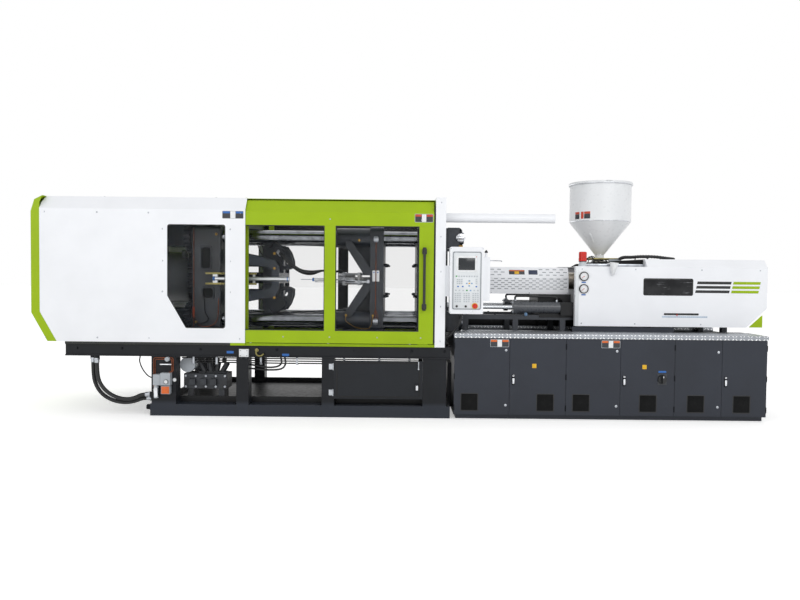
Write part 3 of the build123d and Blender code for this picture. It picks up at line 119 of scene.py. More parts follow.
class Graph:
    """A material's node tree, with short calls for the nodes used here."""

    def __init__(self, name: str) -> None:
        self.material = bpy.data.materials.new(name)
        self.material.use_nodes = True
        self.nodes = self.material.node_tree.nodes
        self.links = self.material.node_tree.links
        self.nodes.clear()
        self.shader = self.nodes.new("ShaderNodeBsdfPrincipled")
        output = self.nodes.new("ShaderNodeOutputMaterial")
        self.links.new(self.shader.outputs["BSDF"], output.inputs["Surface"])
        self.places = self.nodes.new("ShaderNodeTexCoord").outputs["Object"]

    def set(self, **values: object) -> None:
        """Set the shader's own sockets, named with underscores for spaces."""
        for name, value in values.items():
            self.shader.inputs[name.replace("_", " ")].default_value = value

    def drive(self, **sockets: Socket) -> None:
        """Link the shader's own sockets, named with underscores for spaces."""
        for name, socket in sockets.items():
            self.links.new(socket, self.shader.inputs[name.replace("_", " ")])

    def stretched(self, scale: Point) -> Socket:
        """Give the object coordinates, stretched along x, y and z."""
        node = self.nodes.new("ShaderNodeMapping")
        node.inputs["Scale"].default_value = scale
        self.links.new(self.places, node.inputs["Vector"])
        return node.outputs["Vector"]

    def axes(self) -> tuple[Socket, Socket, Socket]:
        """Give the object coordinates x, y and z in metres."""
        node = self.nodes.new("ShaderNodeSeparateXYZ")
        self.links.new(self.places, node.inputs["Vector"])
        return node.outputs["X"], node.outputs["Y"], node.outputs["Z"]

    def noise(self, size_mm: float, detail: float, places: Socket | None = None) -> Socket:
        """Add a noise pattern.

        Args:
            size_mm: the size of its features.
            detail: octaves.
            places: coordinates, or the object's own.

        Returns:
            The pattern, from 0 to 1.
        """
        node = self.nodes.new("ShaderNodeTexNoise")
        node.inputs["Scale"].default_value = 1000 / size_mm
        node.inputs["Detail"].default_value = detail
        self.links.new(places or self.places, node.inputs["Vector"])
        return node.outputs["Fac"]

    def ramp(self, value: Socket, low: float, high: float, start: float = 0.0, end: float = 1.0) -> Socket:
        """Map a pattern from one range to another, clamped.

        Args:
            value: the pattern.
            low: pattern value that gives start.
            high: pattern value that gives end.
            start: first result.
            end: last result.

        Returns:
            The mapped pattern.
        """
        node = self.nodes.new("ShaderNodeMapRange")
        for name, number in (("From Min", low), ("From Max", high), ("To Min", start), ("To Max", end)):
            node.inputs[name].default_value = number
        self.links.new(value, node.inputs["Value"])
        return node.outputs["Result"]

    def math(self, kind: str, first: Socket, second: Socket | float = 0.0, clamp: bool = False) -> Socket:
        """Combine two values.

        Args:
            kind: a math operation, such as "MULTIPLY".
            first: the first value.
            second: a value or a number.
            clamp: keep the result from 0 to 1.

        Returns:
            The result.
        """
        node = self.nodes.new("ShaderNodeMath")
        node.operation = kind
        node.use_clamp = clamp
        self.links.new(first, node.inputs[0])
        if isinstance(second, (int, float)):
            node.inputs[1].default_value = second
        else:
            self.links.new(second, node.inputs[1])
        return node.outputs["Value"]

    def tint(self, share: Socket, first: str, second: str) -> None:
        """Drive the base colour with a mix of two colours.

        Args:
            share: 0 gives the first colour and 1 the second.
            first: sRGB hex.
            second: sRGB hex.
        """
        node = self.nodes.new("ShaderNodeMix")
        node.data_type = "RGBA"
        for socket, colour in zip([s for s in node.inputs if s.type == "RGBA"], (first, second)):
            socket.default_value = linear(colour)
        self.links.new(share, node.inputs["Factor"])
        self.drive(Base_Color=next(s for s in node.outputs if s.type == "RGBA"))

    def patchy(self, size_mm: float, detail: float, low: float, high: float) -> Socket:
        """Give a roughness that wanders between two values in soft patches."""
        return self.ramp(self.noise(size_mm, detail), 0.3, 0.7, low, high)

    def relief(self, *patterns: tuple[Socket, float, float], edge_mm: float = 0.0) -> None:
        """Raise the surface by patterns, over rounded edges.

        Args:
            *patterns: each a pattern, its strength and its depth in millimetres.
            edge_mm: radius that sharp edges are shaded with.
        """
        normal = None
        if edge_mm:
            bevel = self.nodes.new("ShaderNodeBevel")
            bevel.samples = 4
            bevel.inputs["Radius"].default_value = edge_mm / 1000
            normal = bevel.outputs["Normal"]
        for pattern, strength, depth_mm in patterns:
            bump = self.nodes.new("ShaderNodeBump")
            bump.inputs["Strength"].default_value = strength
            bump.inputs["Distance"].default_value = depth_mm / 1000
            self.links.new(pattern, bump.inputs["Height"])
            if normal is not None:
                self.links.new(normal, bump.inputs["Normal"])
            normal = bump.outputs["Normal"]
        self.drive(Normal=normal)


@dataclass(frozen=True)
class Finish:
    """A named finish.

    Attributes:
        name: the material's name.
        colour: sRGB hex.
    """

    name: str
    colour: str

    def build(self) -> Material:
        """Build the material.

        Returns:
            The material.
        """
        graph = Graph(self.name)
        self.wire(graph)
        return graph.material

    def wire(self, graph: Graph) -> None:
        """Wire the shader of this kind of finish."""
        raise NotImplementedError


@dataclass(frozen=True)
class Paint(Finish):
    """Sprayed or powder-coated paint with slight orange peel and a little dust.

    Attributes:
        shade: sRGB hex of the slightly dirtier tone.
        rough: base roughness.
        peel: strength of the orange peel.
        dust: share of dust gathered near the floor.
        shine: the shader's specular level.
    """

    shade: str
    rough: float = 0.36
    peel: float = 0.05
    dust: float = 0.0
    shine: float = 0.5

    def wire(self, graph: Graph) -> None:
        """Wire clouds, dust, gloss and orange peel."""
        share = graph.ramp(graph.noise(420, 4), 0.4, 0.75, 0.0, 0.55)
        if self.dust:
            low = graph.ramp(graph.axes()[2], 0.5, 0.02, 0.0, self.dust)
            share = graph.math("ADD", share, graph.math("MULTIPLY", low, graph.noise(60, 5)), clamp=True)
        graph.tint(share, self.colour, self.shade)
        graph.drive(Roughness=graph.patchy(35, 4, self.rough - 0.05, self.rough + 0.07))
        graph.relief((graph.noise(3, 2), self.peel, 0.25), edge_mm=2.0)
        graph.set(Specular_IOR_Level=self.shine)


@dataclass(frozen=True)
class Casting(Finish):
    """A painted casting: coarse sand texture, glossy paint, stained patches.

    Attributes:
        shade: sRGB hex of oily or dusty places.
        rough: base roughness.
    """

    shade: str
    rough: float = 0.42

    def wire(self, graph: Graph) -> None:
        """Wire stains, gloss and sand."""
        graph.tint(graph.ramp(graph.noise(140, 5), 0.38, 0.66), self.colour, self.shade)
        graph.drive(Roughness=graph.patchy(25, 4, self.rough - 0.1, self.rough + 0.14))
        graph.relief((graph.noise(60, 3), 0.35, 3.0), (graph.noise(5, 4), 0.35, 0.8), edge_mm=6.0)


@dataclass(frozen=True)
class Metal(Finish):
    """Bare metal, with streaks from turning, grinding or drawing along one direction.

    Attributes:
        rough: base roughness.
        streak_mm: width of a streak.
        streak: how much the streaks change the roughness.
        stain: sRGB hex of a stain or oil film, or the metal's own colour for none.
        edge_mm: radius that edges are shaded with.
        along: stretch of the streaks along x, y and z, where a small number is a long streak.
    """

    rough: float
    streak_mm: float
    streak: float
    stain: str = ""
    edge_mm: float = 0.0
    along: Point = (1.0, 1.0, 1.0)

    def wire(self, graph: Graph) -> None:
        """Wire streaks, stains and gloss."""
        graph.set(Metallic=1.0)
        streaks = graph.noise(self.streak_mm, 3, graph.stretched(self.along))
        stains = graph.ramp(graph.noise(90, 4), 0.45, 0.72)
        graph.tint(stains, self.colour, self.stain or self.colour)
        rough = graph.ramp(streaks, 0.3, 0.7, self.rough - self.streak / 2, self.rough + self.streak)
        graph.drive(Roughness=graph.math("ADD", rough, graph.math("MULTIPLY", stains, 0.06)))
        graph.relief((streaks, 0.06, 0.2), edge_mm=self.edge_mm)


@dataclass(frozen=True)
class Plastic(Finish):
    """Moulded plastic or rubber with a fine grain.

    Attributes:
        rough: base roughness.
        grain_mm: size of the grain.
        grain: its strength.
        edge_mm: radius that edges are shaded with.
    """

    rough: float
    grain_mm: float
    grain: float
    edge_mm: float = 0.0

    def wire(self, graph: Graph) -> None:
        """Wire a darker cloud, gloss and grain."""
        darker = "".join(f"{int(0.9 * int(self.colour[start:start + 2], 16)):02x}" for start in (0, 2, 4))
        graph.tint(graph.ramp(graph.noise(28, 4), 0.42, 0.72, 0.0, 0.7), self.colour, darker)
        graph.drive(Roughness=graph.patchy(9, 3, self.rough - 0.05, self.rough + 0.08))
        graph.relief((graph.noise(self.grain_mm, 2), self.grain, 0.15), edge_mm=self.edge_mm)


@dataclass(frozen=True)
class Pane(Finish):
    """A clear sheet that lets the light through.

    Attributes:
        cover: how much of the light it stops.
    """

    cover: float

    def wire(self, graph: Graph) -> None:
        """Wire a faint smear on a clear sheet."""
        graph.set(Alpha=self.cover)
        smear = graph.ramp(graph.noise(160, 4), 0.42, 0.75)
        graph.tint(smear, self.colour, self.colour)
        graph.drive(Roughness=graph.ramp(smear, 0, 1, 0.03, 0.08))
        graph.material.surface_render_method = "BLENDED"


@dataclass(frozen=True)
class Tread(Finish):
    """Bright tread plate with raised lozenges in a basket pattern.

    Attributes:
        base: sRGB hex between the lozenges.
        pitch_mm: distance between lozenges.
        rough: base roughness.
    """

    base: str
    pitch_mm: float
    rough: float = 0.34

    def wire(self, graph: Graph) -> None:
        """Wire lozenges that change their lean from cell to cell."""
        graph.set(Metallic=1.0)
        calc = graph.math
        x, y, z = graph.axes()
        along = calc("MULTIPLY", x, 1000 / self.pitch_mm)
        across = calc("MULTIPLY", calc("ADD", y, z), 1000 / self.pitch_mm)
        cell = calc("ADD", calc("FLOOR", along), calc("FLOOR", across))
        sign = calc("SUBTRACT", calc("MULTIPLY", calc("FLOORED_MODULO", cell, 2), 2.0), 1.0)
        u = calc("SUBTRACT", calc("FRACT", along), 0.5)
        v = calc("MULTIPLY", calc("SUBTRACT", calc("FRACT", across), 0.5), sign)
        long_way = calc("ABSOLUTE", calc("MULTIPLY", calc("ADD", u, v), 1.45))
        short_way = calc("ABSOLUTE", calc("MULTIPLY", calc("SUBTRACT", u, v), 4.6))
        lozenge = graph.ramp(calc("ADD", calc("POWER", long_way, 2), calc("POWER", short_way, 2)), 1.0, 0.45)
        wear = graph.ramp(graph.noise(70, 5), 0.4, 0.75)
        graph.tint(calc("MULTIPLY", lozenge, graph.ramp(wear, 0, 1, 1.0, 0.6)), self.base, self.colour)
        gloss = graph.ramp(lozenge, 0, 1, self.rough + 0.12, self.rough - 0.08)
        graph.drive(Roughness=calc("ADD", gloss, calc("MULTIPLY", wear, 0.1)))
        graph.relief((graph.noise(6, 3), 0.1, 0.2), (lozenge, 0.9, 1.6))


@dataclass(frozen=True)
class PaintWithShadeAbove(Finish):
    """Paint with painted shade above a height, where the frame lies in its own shade.

    Attributes:
        upper: sRGB hex of the painted shade above the height.
        height: the height in metres.
        rough: base roughness.
    """

    upper: str
    height: float
    rough: float = 0.4

    def wire(self, graph: Graph) -> None:
        """Wire the paint and the painted shade above it, with a cloudy border."""
        share = graph.ramp(graph.axes()[2], self.height - 0.01, self.height + 0.03)
        cloud = graph.ramp(graph.noise(300, 4), 0.35, 0.75, -0.12, 0.12)
        graph.tint(graph.math("ADD", share, cloud, clamp=True), self.colour, self.upper)
        graph.drive(Roughness=graph.patchy(35, 4, self.rough - 0.05, self.rough + 0.1))
        graph.relief((graph.noise(3, 2), 0.06, 0.25), edge_mm=2.0)
        graph.set(Specular_IOR_Level=0.22)


@dataclass(frozen=True)
class RailSet(Finish):
    """Painted rails and posts, with the bright rods and ground ways of the same node.

    Attributes:
        steel: sRGB hex of the rods and ways.
        rod_y: distance of the rods from the centre plane.
        rod_z: height of the rods.
        rod_reach: half the width of the zone round a rod.
        way_top: everything below this height is bare steel.
    """

    steel: str
    rod_y: float = 0.33
    rod_z: float = 1.08
    rod_reach: float = 0.024
    way_top: float = 0.79

    def wire(self, graph: Graph) -> None:
        """Wire steel within the zones and paint outside them."""
        calc = graph.math
        _, y, z = graph.axes()
        off_y = calc("ABSOLUTE", calc("SUBTRACT", calc("ABSOLUTE", y), self.rod_y))
        off_z = calc("ABSOLUTE", calc("SUBTRACT", z, self.rod_z))
        rods = calc("LESS_THAN", calc("MAXIMUM", off_y, off_z), self.rod_reach)
        bare = calc("MAXIMUM", rods, calc("LESS_THAN", z, self.way_top))
        graph.tint(bare, self.colour, self.steel)
        rough = calc("SUBTRACT", graph.patchy(25, 4, 0.34, 0.48), calc("MULTIPLY", bare, 0.2))
        graph.drive(Metallic=bare, Roughness=rough)
        graph.relief((graph.noise(4, 3), 0.1, 0.3), edge_mm=2.0)


@dataclass(frozen=True)
class Smoked(Finish):
    """A smoked window with faint scratches and what shows dimly behind it.

    Attributes:
        streak: sRGB hex of the scratches.
    """

    streak: str

    def wire(self, graph: Graph) -> None:
        """Wire scratches within soft patches."""
        lines = graph.ramp(graph.noise(14, 2, graph.stretched((0.12, 1.0, 1.0))), 0.62, 0.72)
        patches = graph.ramp(graph.noise(110, 3), 0.5, 0.66)
        behind = graph.math("MULTIPLY", graph.ramp(graph.noise(150, 2), 0.4, 0.7), 0.06)
        share = graph.math("ADD", graph.math("MULTIPLY", lines, patches), behind, clamp=True)
        graph.tint(share, self.colour, self.streak)
        graph.drive(Roughness=graph.patchy(40, 3, 0.08, 0.16))
        graph.relief((graph.noise(30, 2), 0.03, 0.2))
        graph.set(Specular_IOR_Level=0.25)


FINISHES = (
    Paint("white_paint", "f3f5f9", "e8eaee", 0.34, dust=0.2),
    Paint("hopper_paint", "eceef0", "dfe2e5", 0.3),
    Paint("green_paint", "9cba0f", "8fab0d", 0.35, shine=0.25),
    Paint("dark_paint", "2e323b", "272a31", 0.4, dust=0.3, shine=0.3),
    Paint("black_paint", "121315", "1a1b1e", 0.42, shine=0.3),
    Paint("grille_black", "090a0b", "0e0f10", 0.55, shine=0.15),
    # shaded_paint: a darker paint that is painted shade on the recessed drop door
    Paint("shaded_paint", "1d2025", "17191d", 0.42, shine=0.25),
    Paint("cylinder_paint", "4a4d52", "3c3f43", 0.28),
    Paint("ram_paint", "74777b", "62656a", 0.32),
    # clamp base: its paint below 0.125 m, and painted shade above it where the upper frame lies in shade
    PaintWithShadeAbove("frame_paint_and_shade", "2e323a", "17191d", 0.125),
    RailSet("rail_set", "2c3037", "b4b7ba"),
    Paint("fascia_paint", "dfe3e6", "d3d8dc", 0.3, peel=0.02),
    Paint("grey_paint", "aab0b6", "989ea5", 0.35),
    Paint("orange_paint", "d9532c", "b8431f", 0.4),
    Casting("casting", "2b3038", "1f2227"),
    Casting("yoke_casting", "39404b", "2a2f37", 0.38),
    Casting("manifold_casting", "2a2e34", "1a1c20", 0.5),
    Metal("chrome_x", "8b8e93", 0.14, 6.0, 0.06, "5c5e62", along=(0.02, 1.0, 1.0)),
    Metal("chrome", "d8dade", 0.1, 3.0, 0.05, along=(1.0, 1.0, 0.1)),
    Metal("ground_steel", "a9acb0", 0.27, 4.0, 0.12, "8a857a", 1.0, (0.03, 1.0, 1.0)),
    Metal("zinc", "b8bcc2", 0.32, 8.0, 0.12, "9a9da3", 0.8),
    Metal("black_steel", "25272a", 0.45, 12.0, 0.15, "1a1b1d", 1.0),
    Metal("brass", "b08c4a", 0.3, 6.0, 0.1, "8a6d38"),
    Metal("olive_zinc", "8c8354", 0.38, 6.0, 0.1, "6d6844"),
    Metal("copper", "8d5640", 0.34, 6.0, 0.12, "653c2c", along=(1.0, 1.0, 0.1)),
    Metal("aluminium", "cfd2d5", 0.33, 3.0, 0.1, along=(0.03, 1.0, 1.0)),
    Metal("heater_steel", "9a948a", 0.34, 4.0, 0.15, "6f5f4c", 1.0, (1.0, 0.1, 0.1)),
    Tread("tread_plate", "f4f5f6", "9a9ea4", 38.0),
    Plastic("black_rubber", "131416", 0.55, 1.6, 0.25),
    Plastic("black_plastic", "17181a", 0.42, 1.0, 0.2, 1.0),
    Plastic("seal_rubber", "1b1d1c", 0.6, 1.5, 0.2),
    Plastic("dark_glass", "101214", 0.08, 3.0, 0.0),
    Smoked("smoked_window", "141518", "84868a"),
    Plastic("navy_label", "1c2946", 0.45, 3.0, 0.04),
    Plastic("scale_label", "c6d4e4", 0.4, 3.0, 0.04),
    Plastic("red_plastic", "d1281c", 0.22, 2.0, 0.05, 1.0),
    Plastic("yellow_plastic", "e8b416", 0.32, 2.0, 0.08),
    Plastic("green_plastic", "2e9a45", 0.32, 2.0, 0.08),
    Plastic("blue_plastic", "2166b5", 0.32, 2.0, 0.08),
    Plastic("pale_blue_plastic", "7ea3c9", 0.36, 2.0, 0.08),
    Plastic("white_plastic", "eceef0", 0.35, 2.0, 0.06),
    Plastic("grey_plastic", "8e949a", 0.4, 1.5, 0.1),
    Plastic("key_plastic", "c3c9ce", 0.38, 1.5, 0.08),
    Plastic("dark_plastic", "303338", 0.45, 1.5, 0.15),
    Plastic("screen_light", "1b2126", 0.16, 3.0, 0.0),
    Plastic("red_label", "c8482f", 0.5, 4.0, 0.04),
    Plastic("orange_label", "dd6a2c", 0.5, 4.0, 0.04),
    Pane("clear_pane", "30363a", 0.05),
)

DRESS = {
    "white_paint": ("front_cover", "rear_cover", "end_panels", "control_panel", "barrel_cover",
                    "injection_cover", "purge_guard"),
    "hopper_paint": ("hopper", "hopper_lid"),
    "green_paint": ("end_cap", "guard_frame", "front_door", "rear_door"),
    "frame_paint_and_shade": ("clamp_base",),
    "shaded_paint": ("drop_door",),
    "rail_set": ("guide_ways",),
    "dark_paint": ("cabinet_body", *(f"cabinet_door_{number}" for number in range(1, 7))),
    "black_paint": ("drip_tray", "carriage_base", "power_unit"),
    "grey_paint": ("lube_unit",),
    "casting": ("stationary_platen", "tie_bar_nuts", "tail_platen", "height_adjuster", "crosshead",
                *(f"{name}_link_{place}" for name in ("rear", "front", "crosshead")
                  for place in ("upper", "lower")), "moving_platen", "screw_drive"),
    "yoke_casting": ("guide_frame",),
    "manifold_casting": ("valve_manifold",),
    "chrome_x": ("tie_bars",),
    "ground_steel": ("ejector_cylinder", "ejector", "screw"),
    "ram_paint": ("clamp_cylinder",),
    "heater_steel": ("barrel",),
    "cylinder_paint": ("cylinders",),
    "tread_plate": ("tread_plates",),
    "aluminium": ("stroke_transducer",),
    "clear_pane": ("cover_panes", "front_door_panes", "rear_door_panes"),
    "black_rubber": ("outer_hose", "inner_hose"),
    "black_plastic": ("front_door_handle", "main_switch"),
    "red_plastic": ("beacon", "stop_button"),
}

SLOTS = {
    "white_paint": ("fascia_paint", "key_plastic", "white_plastic"),
    "black_plastic": ("black_paint", "black_plastic", "black_steel", "blue_plastic", "dark_plastic",
                      "grey_plastic", "grille_black", "navy_label", "pale_blue_plastic", "screen_light",
                      "dark_glass", "smoked_window", "yellow_plastic"),
    "hose_rubber": ("black_rubber", "seal_rubber"),
    "ground_steel": ("brass", "chrome", "copper", "ground_steel", "olive_zinc", "zinc"),
    "dark_paint": ("casting", "dark_paint"),
    "green_paint": ("green_paint", "green_plastic"),
    "red_plastic": ("orange_label", "orange_paint", "red_plastic", "red_label"),
    "anodised": ("scale_label",),
    "tread_metal": ("tread_plate",),
}


class Palette:
    """Every finish, built once, and the record's slot that each one stands for."""

    made: dict[str, Material] = {}
    slots = {finish: slot for slot, finishes in SLOTS.items() for finish in finishes}

    @classmethod
    def dress(cls, nodes: dict[str, bpy.types.Object]) -> None:
        """Build the finishes and give every CAD node its own.

        Args:
            nodes: the CAD nodes by name.
        """
        cls.made.update((finish.name, finish.build()) for finish in FINISHES)
        for name, members in DRESS.items():
            for node in members:
                materials = nodes[node].data.materials
                materials.clear()
                materials.append(cls.made[name])
        bare = [name for name, node in nodes.items() if len(node.data.materials) != 1]
        log.info("nodes with no single finish: %s", bare)

    @classmethod
    def settle(cls, piece: bpy.types.Object, finish: str, body: str, slot: str = "") -> bpy.types.Object:
        """Let a new piece ride on its body.

        Args:
            piece: the piece, already in the scene.
            finish: its finish; not used.
            body: the CAD body that it rides on.
            slot: the record's material slot, if it isn't the finish's usual one; not used.

        Returns:
            The piece.
        """
        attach(piece, body)
        return piece


class Shape:
    """A mesh that is put together from bevelled solids in the model's frame."""

    def __init__(self) -> None:
        self.mesh = bmesh.new()

    def join(self, part: bmesh.types.BMesh) -> "Shape":
        """Add a part's faces.

        Args:
            part: the part, which is freed.

        Returns:
            This shape.
        """
        scratch = bpy.data.meshes.new("scratch")
        part.to_mesh(scratch)
        self.mesh.from_mesh(scratch)
        bpy.data.meshes.remove(scratch)
        part.free()
        return self

    def _absorb(self, part: bmesh.types.BMesh, bevel: float = 0.0, sharp: float = 50.0) -> "Shape":
        """Bevel a part's sharp edges and add it.

        Args:
            part: the part, which is freed.
            bevel: bevel width in metres.
            sharp: edges that turn by more degrees than this are bevelled.

        Returns:
            This shape.
        """
        bmesh.ops.recalc_face_normals(part, faces=part.faces)
        if bevel > 0:
            edges = [e for e in part.edges if e.is_manifold and e.calc_face_angle(0) > math.radians(sharp)]
            bmesh.ops.bevel(part, geom=edges, offset=bevel, segments=2, profile=0.5, affect="EDGES",
                            clamp_overlap=True)
        return self.join(part)

    def box(self, first: Point, second: Point, bevel: float = 0.001) -> "Shape":
        """Add a box.

        Args:
            first: one corner.
            second: the opposite corner.
            bevel: bevel width.

        Returns:
            This shape.
        """
        part = bmesh.new()
        bmesh.ops.create_cube(part, size=1.0)
        size = [abs(b - a) for a, b in zip(first, second)]
        middle = [(a + b) / 2 for a, b in zip(first, second)]
        part.transform(Matrix.Translation(middle) @ Matrix.Diagonal((*size, 1)))
        return self._absorb(part, min(bevel, 0.45 * min(size)), 35.0)

    def rod(self, start: Point, end: Point, radius: float, bevel: float = 0.001, sides: int = 32,
            tip: float | None = None) -> "Shape":
        """Add a round bar or a cone.

        Args:
            start: centre of the first end.
            end: centre of the second end.
            radius: radius at the first end.
            bevel: bevel width.
            sides: number of sides.
            tip: radius at the second end, or the same.

        Returns:
            This shape.
        """
        line = Vector(end) - Vector(start)
        part = bmesh.new()
        bmesh.ops.create_cone(part, cap_ends=True, segments=sides, radius1=radius,
                              radius2=radius if tip is None else tip, depth=line.length)
        turn = Vector((0, 0, 1)).rotation_difference(line).to_matrix().to_4x4()
        part.transform(Matrix.Translation((Vector(start) + Vector(end)) / 2) @ turn)
        return self._absorb(part, min(bevel, 0.4 * radius, 0.4 * line.length))

    def lathe(self, profile: Sequence[Pair], base: Point, axis: Axis, sides: int = 64) -> "Shape":
        """Add a turned solid.

        Args:
            profile: radius and distance along the axis, from the first end to the last.
            base: the point that distances count from.
            axis: the direction of the axis.
            sides: number of sides.

        Returns:
            This shape.
        """
        part = bmesh.new()
        rings = []
        for radius, along in profile:
            count = sides if radius > 1e-6 else 1
            turns = [2 * math.pi * number / sides for number in range(count)]
            spots = [(radius * math.cos(t), radius * math.sin(t), along) for t in turns]
            rings.append([part.verts.new(spot) for spot in spots])
        for lower, upper in zip(rings, rings[1:]):
            for number in range(sides):
                after = (number + 1) % sides
                corners = [lower[number % len(lower)], lower[after % len(lower)],
                           upper[after % len(upper)], upper[number % len(upper)]]
                unique = list(dict.fromkeys(corners))
                if len(unique) > 2:
                    part.faces.new(unique)
        if profile[0] == profile[-1]:
            bmesh.ops.remove_doubles(part, verts=part.verts, dist=1e-7)
        else:
            for ring in (rings[0], rings[-1]):
                if len(ring) > 1:
                    part.faces.new(ring)
        part.transform(Matrix.Translation(base) @ axis.turn())
        return self._absorb(part)

    def plate(self, outline: Sequence[Pair], span: Pair, across: str = "y", bevel: float = 0.001,
              corner: float = 0.0, holes: Sequence[Sequence[Pair]] = ()) -> "Shape":
        """Add a flat plate with a given outline.

        Args:
            outline: corners; for across "y" they are x and z, for "x" y and z, for "z" x and y.
            span: where it starts and ends along the axis that it is extruded on.
            across: that axis.
            bevel: bevel width.
            corner: radius that every corner of the outline is rounded with.
            holes: outlines of holes in it, which are rounded in the same way.

        Returns:
            This shape.
        """
        part = bmesh.new()
        first, last = sorted(span)
        edges = []
        for loop in [rounded(outline, corner)] + [rounded(hole, corner) for hole in holes]:
            verts = [part.verts.new(_lift(point, first, across)) for point in loop]
            edges += [part.edges.new(ends) for ends in zip(verts, verts[1:] + verts[:1])]
        if holes:
            bmesh.ops.triangle_fill(part, use_beauty=True, use_dissolve=True, edges=edges)
        else:
            part.faces.new(part.verts)
        made = bmesh.ops.extrude_face_region(part, geom=list(part.faces))
        moved = [item for item in made["geom"] if isinstance(item, bmesh.types.BMVert)]
        bmesh.ops.translate(part, verts=moved, vec=Vector(_lift((0, 0), last - first, across)))
        return self._absorb(part, bevel)

    def pipe(self, points: Sequence[Point], radius: float, sides: int = 12, bend: float = 0.0) -> "Shape":
        """Add a bent pipe or a thin hose.

        Args:
            points: places along it; with no bend they steer a smooth curve.
            radius: the pipe's radius.
            sides: number of sides.
            bend: radius of the bends between straight runs.

        Returns:
            This shape.
        """
        route = rounded_run(points, bend) if bend else smooth_run(points)
        part = bmesh.new()
        last = None
        up = Vector((0.13, 0.21, 0.97))
        for number, place in enumerate(route):
            ahead = route[min(number + 1, len(route) - 1)] - route[max(number - 1, 0)]
            ahead.normalize()
            up = (up - up.dot(ahead) * ahead).normalized()
            side = ahead.cross(up)
            ring = []
            for turn in (2 * math.pi * n / sides for n in range(sides)):
                ring.append(part.verts.new(place + radius * (math.cos(turn) * up + math.sin(turn) * side)))
            if last:
                for n in range(sides):
                    part.faces.new((last[n], last[(n + 1) % sides], ring[(n + 1) % sides], ring[n]))
            else:
                part.faces.new(ring[::-1])
            last = ring
        part.faces.new(last)
        return self._absorb(part)

    def screw(self, place: Point, axis: Axis, radius: float, height: float) -> "Shape":
        """Add a socket head screw that stands on a face.

        Args:
            place: centre of its seat.
            axis: the way its head points.
            radius: radius of the head.
            height: height of the head.

        Returns:
            This shape.
        """
        hole = 0.5 * radius
        return self.lathe([(0, 0), (radius, 0), (radius, 0.82 * height), (0.88 * radius, height),
                           (1.08 * hole, height), (hole, 0.93 * height), (hole, 0.45 * height),
                           (0, 0.45 * height)], place, axis, 20)

    def hexagon(self, place: Point, axis: Axis, radius: float, height: float) -> "Shape":
        """Add a hexagon nut or bolt head with its washer.

        Args:
            place: centre of its seat.
            axis: the way it points.
            radius: radius over its corners.
            height: its height.

        Returns:
            This shape.
        """
        base, way = Vector(place), Vector(axis.value)
        self.rod(place, tuple(base + way * 0.12 * height), 1.25 * radius, 0.0004, 24)
        return self.rod(place, tuple(base + way * height), radius, 0.0006, 6)

    def mesh_data(self, name: str) -> bpy.types.Mesh:
        """Turn the shape into mesh data that is shaded smooth up to a sharp angle.

        Args:
            name: the data's name.

        Returns:
            The data.
        """
        data = bpy.data.meshes.new(name)
        self.mesh.to_mesh(data)
        self.mesh.free()
        data.shade_smooth()
        data.set_sharp_from_angle(angle=math.radians(SMOOTH_DEGREES))
        return data

    def place(self, name: str, finish: str, body: str = "base", slot: str = "") -> bpy.types.Object:
        """Make the piece.

        Args:
            name: the piece's name.
            finish: its finish.
            body: the CAD body that it rides on.
            slot: the record's material slot, if it isn't the finish's usual one.

        Returns:
            The piece.
        """
        data = self.mesh_data(name)
        data.materials.append(Palette.made[finish])
        return Palette.settle(linked(name, data), finish, body, slot)


def linked(name: str, data: bpy.types.ID) -> bpy.types.Object:
    """Make an object and link it to the scene.

    Args:
        name: its name.
        data: its data.

    Returns:
        The object.
    """
    made = bpy.data.objects.new(name, data)
    bpy.context.scene.collection.objects.link(made)
    return made


def _lift(point: Pair, along: float, across: str) -> Point:
    """Put a point of a flat outline in space.

    Args:
        point: the two coordinates in the plane.
        along: the coordinate along the axis.
        across: the axis.

    Returns:
        The point.
    """
    first, second = point
    return {"x": (along, first, second), "y": (first, along, second), "z": (first, second, along)}[across]


def rounded(outline: Sequence[Pair], corner: float) -> list[Pair]:
    """Round the corners of a closed outline.

    Args:
        outline: the corners.
        corner: the radius, or 0 to leave it.

    Returns:
        The rounded outline.
    """
    if corner <= 0:
        return list(outline)
    steps = 5
    result: list[Pair] = []
    for number, place in enumerate(outline):
        at = Vector(place)
        before = (Vector(outline[number - 1]) - at).normalized()
        after = (Vector(outline[(number + 1) % len(outline)]) - at).normalized()
        half = before.angle(after) / 2
        reach = corner / math.tan(half)
        centre = at + (before + after).normalized() * (corner / math.sin(half))
        start = at + before * reach - centre
        end = at + after * reach - centre
        for step in range(steps + 1):
            result.append(tuple(centre + start.slerp(end, step / steps).normalized() * corner))
    return result


def inset(outline: Sequence[Pair], distance: float) -> list[Pair]:
    """Move every side of a closed outline inwards.

    Args:
        outline: the corners.
        distance: how far, or how far outwards if it is below 0.

    Returns:
        The moved corners.
    """
    area = sum(a[0] * b[1] - b[0] * a[1] for a, b in zip(outline, [*outline[1:], outline[0]]))
    side = 1 if area > 0 else -1
    moved = []
    for number, place in enumerate(outline):
        at = Vector(place)
        before = (at - Vector(outline[number - 1])).normalized()
        after = (Vector(outline[(number + 1) % len(outline)]) - at).normalized()
        normals = [Vector((-way.y, way.x)) * side for way in (before, after)]
        middle = (normals[0] + normals[1]).normalized()
        moved.append(tuple(at + middle * (distance / middle.dot(normals[0]))))
    return moved


def rectangle(left: float, right: float, bottom: float, top: float) -> list[Pair]:
    """Give the corners of a rectangle, anticlockwise."""
    return [(left, bottom), (right, bottom), (right, top), (left, top)]


def circle(centre: Pair, radius: float, count: int, closed: bool = True) -> list[Pair]:
    """Give points on a circle.

    Args:
        centre: its centre.
        radius: its radius.
        count: number of steps round it.
        closed: end with the first point again.

    Returns:
        The points.
    """
    turns = [2 * math.pi * n / count for n in range(count + closed)]
    return [(centre[0] + radius * math.cos(t), centre[1] + radius * math.sin(t)) for t in turns]


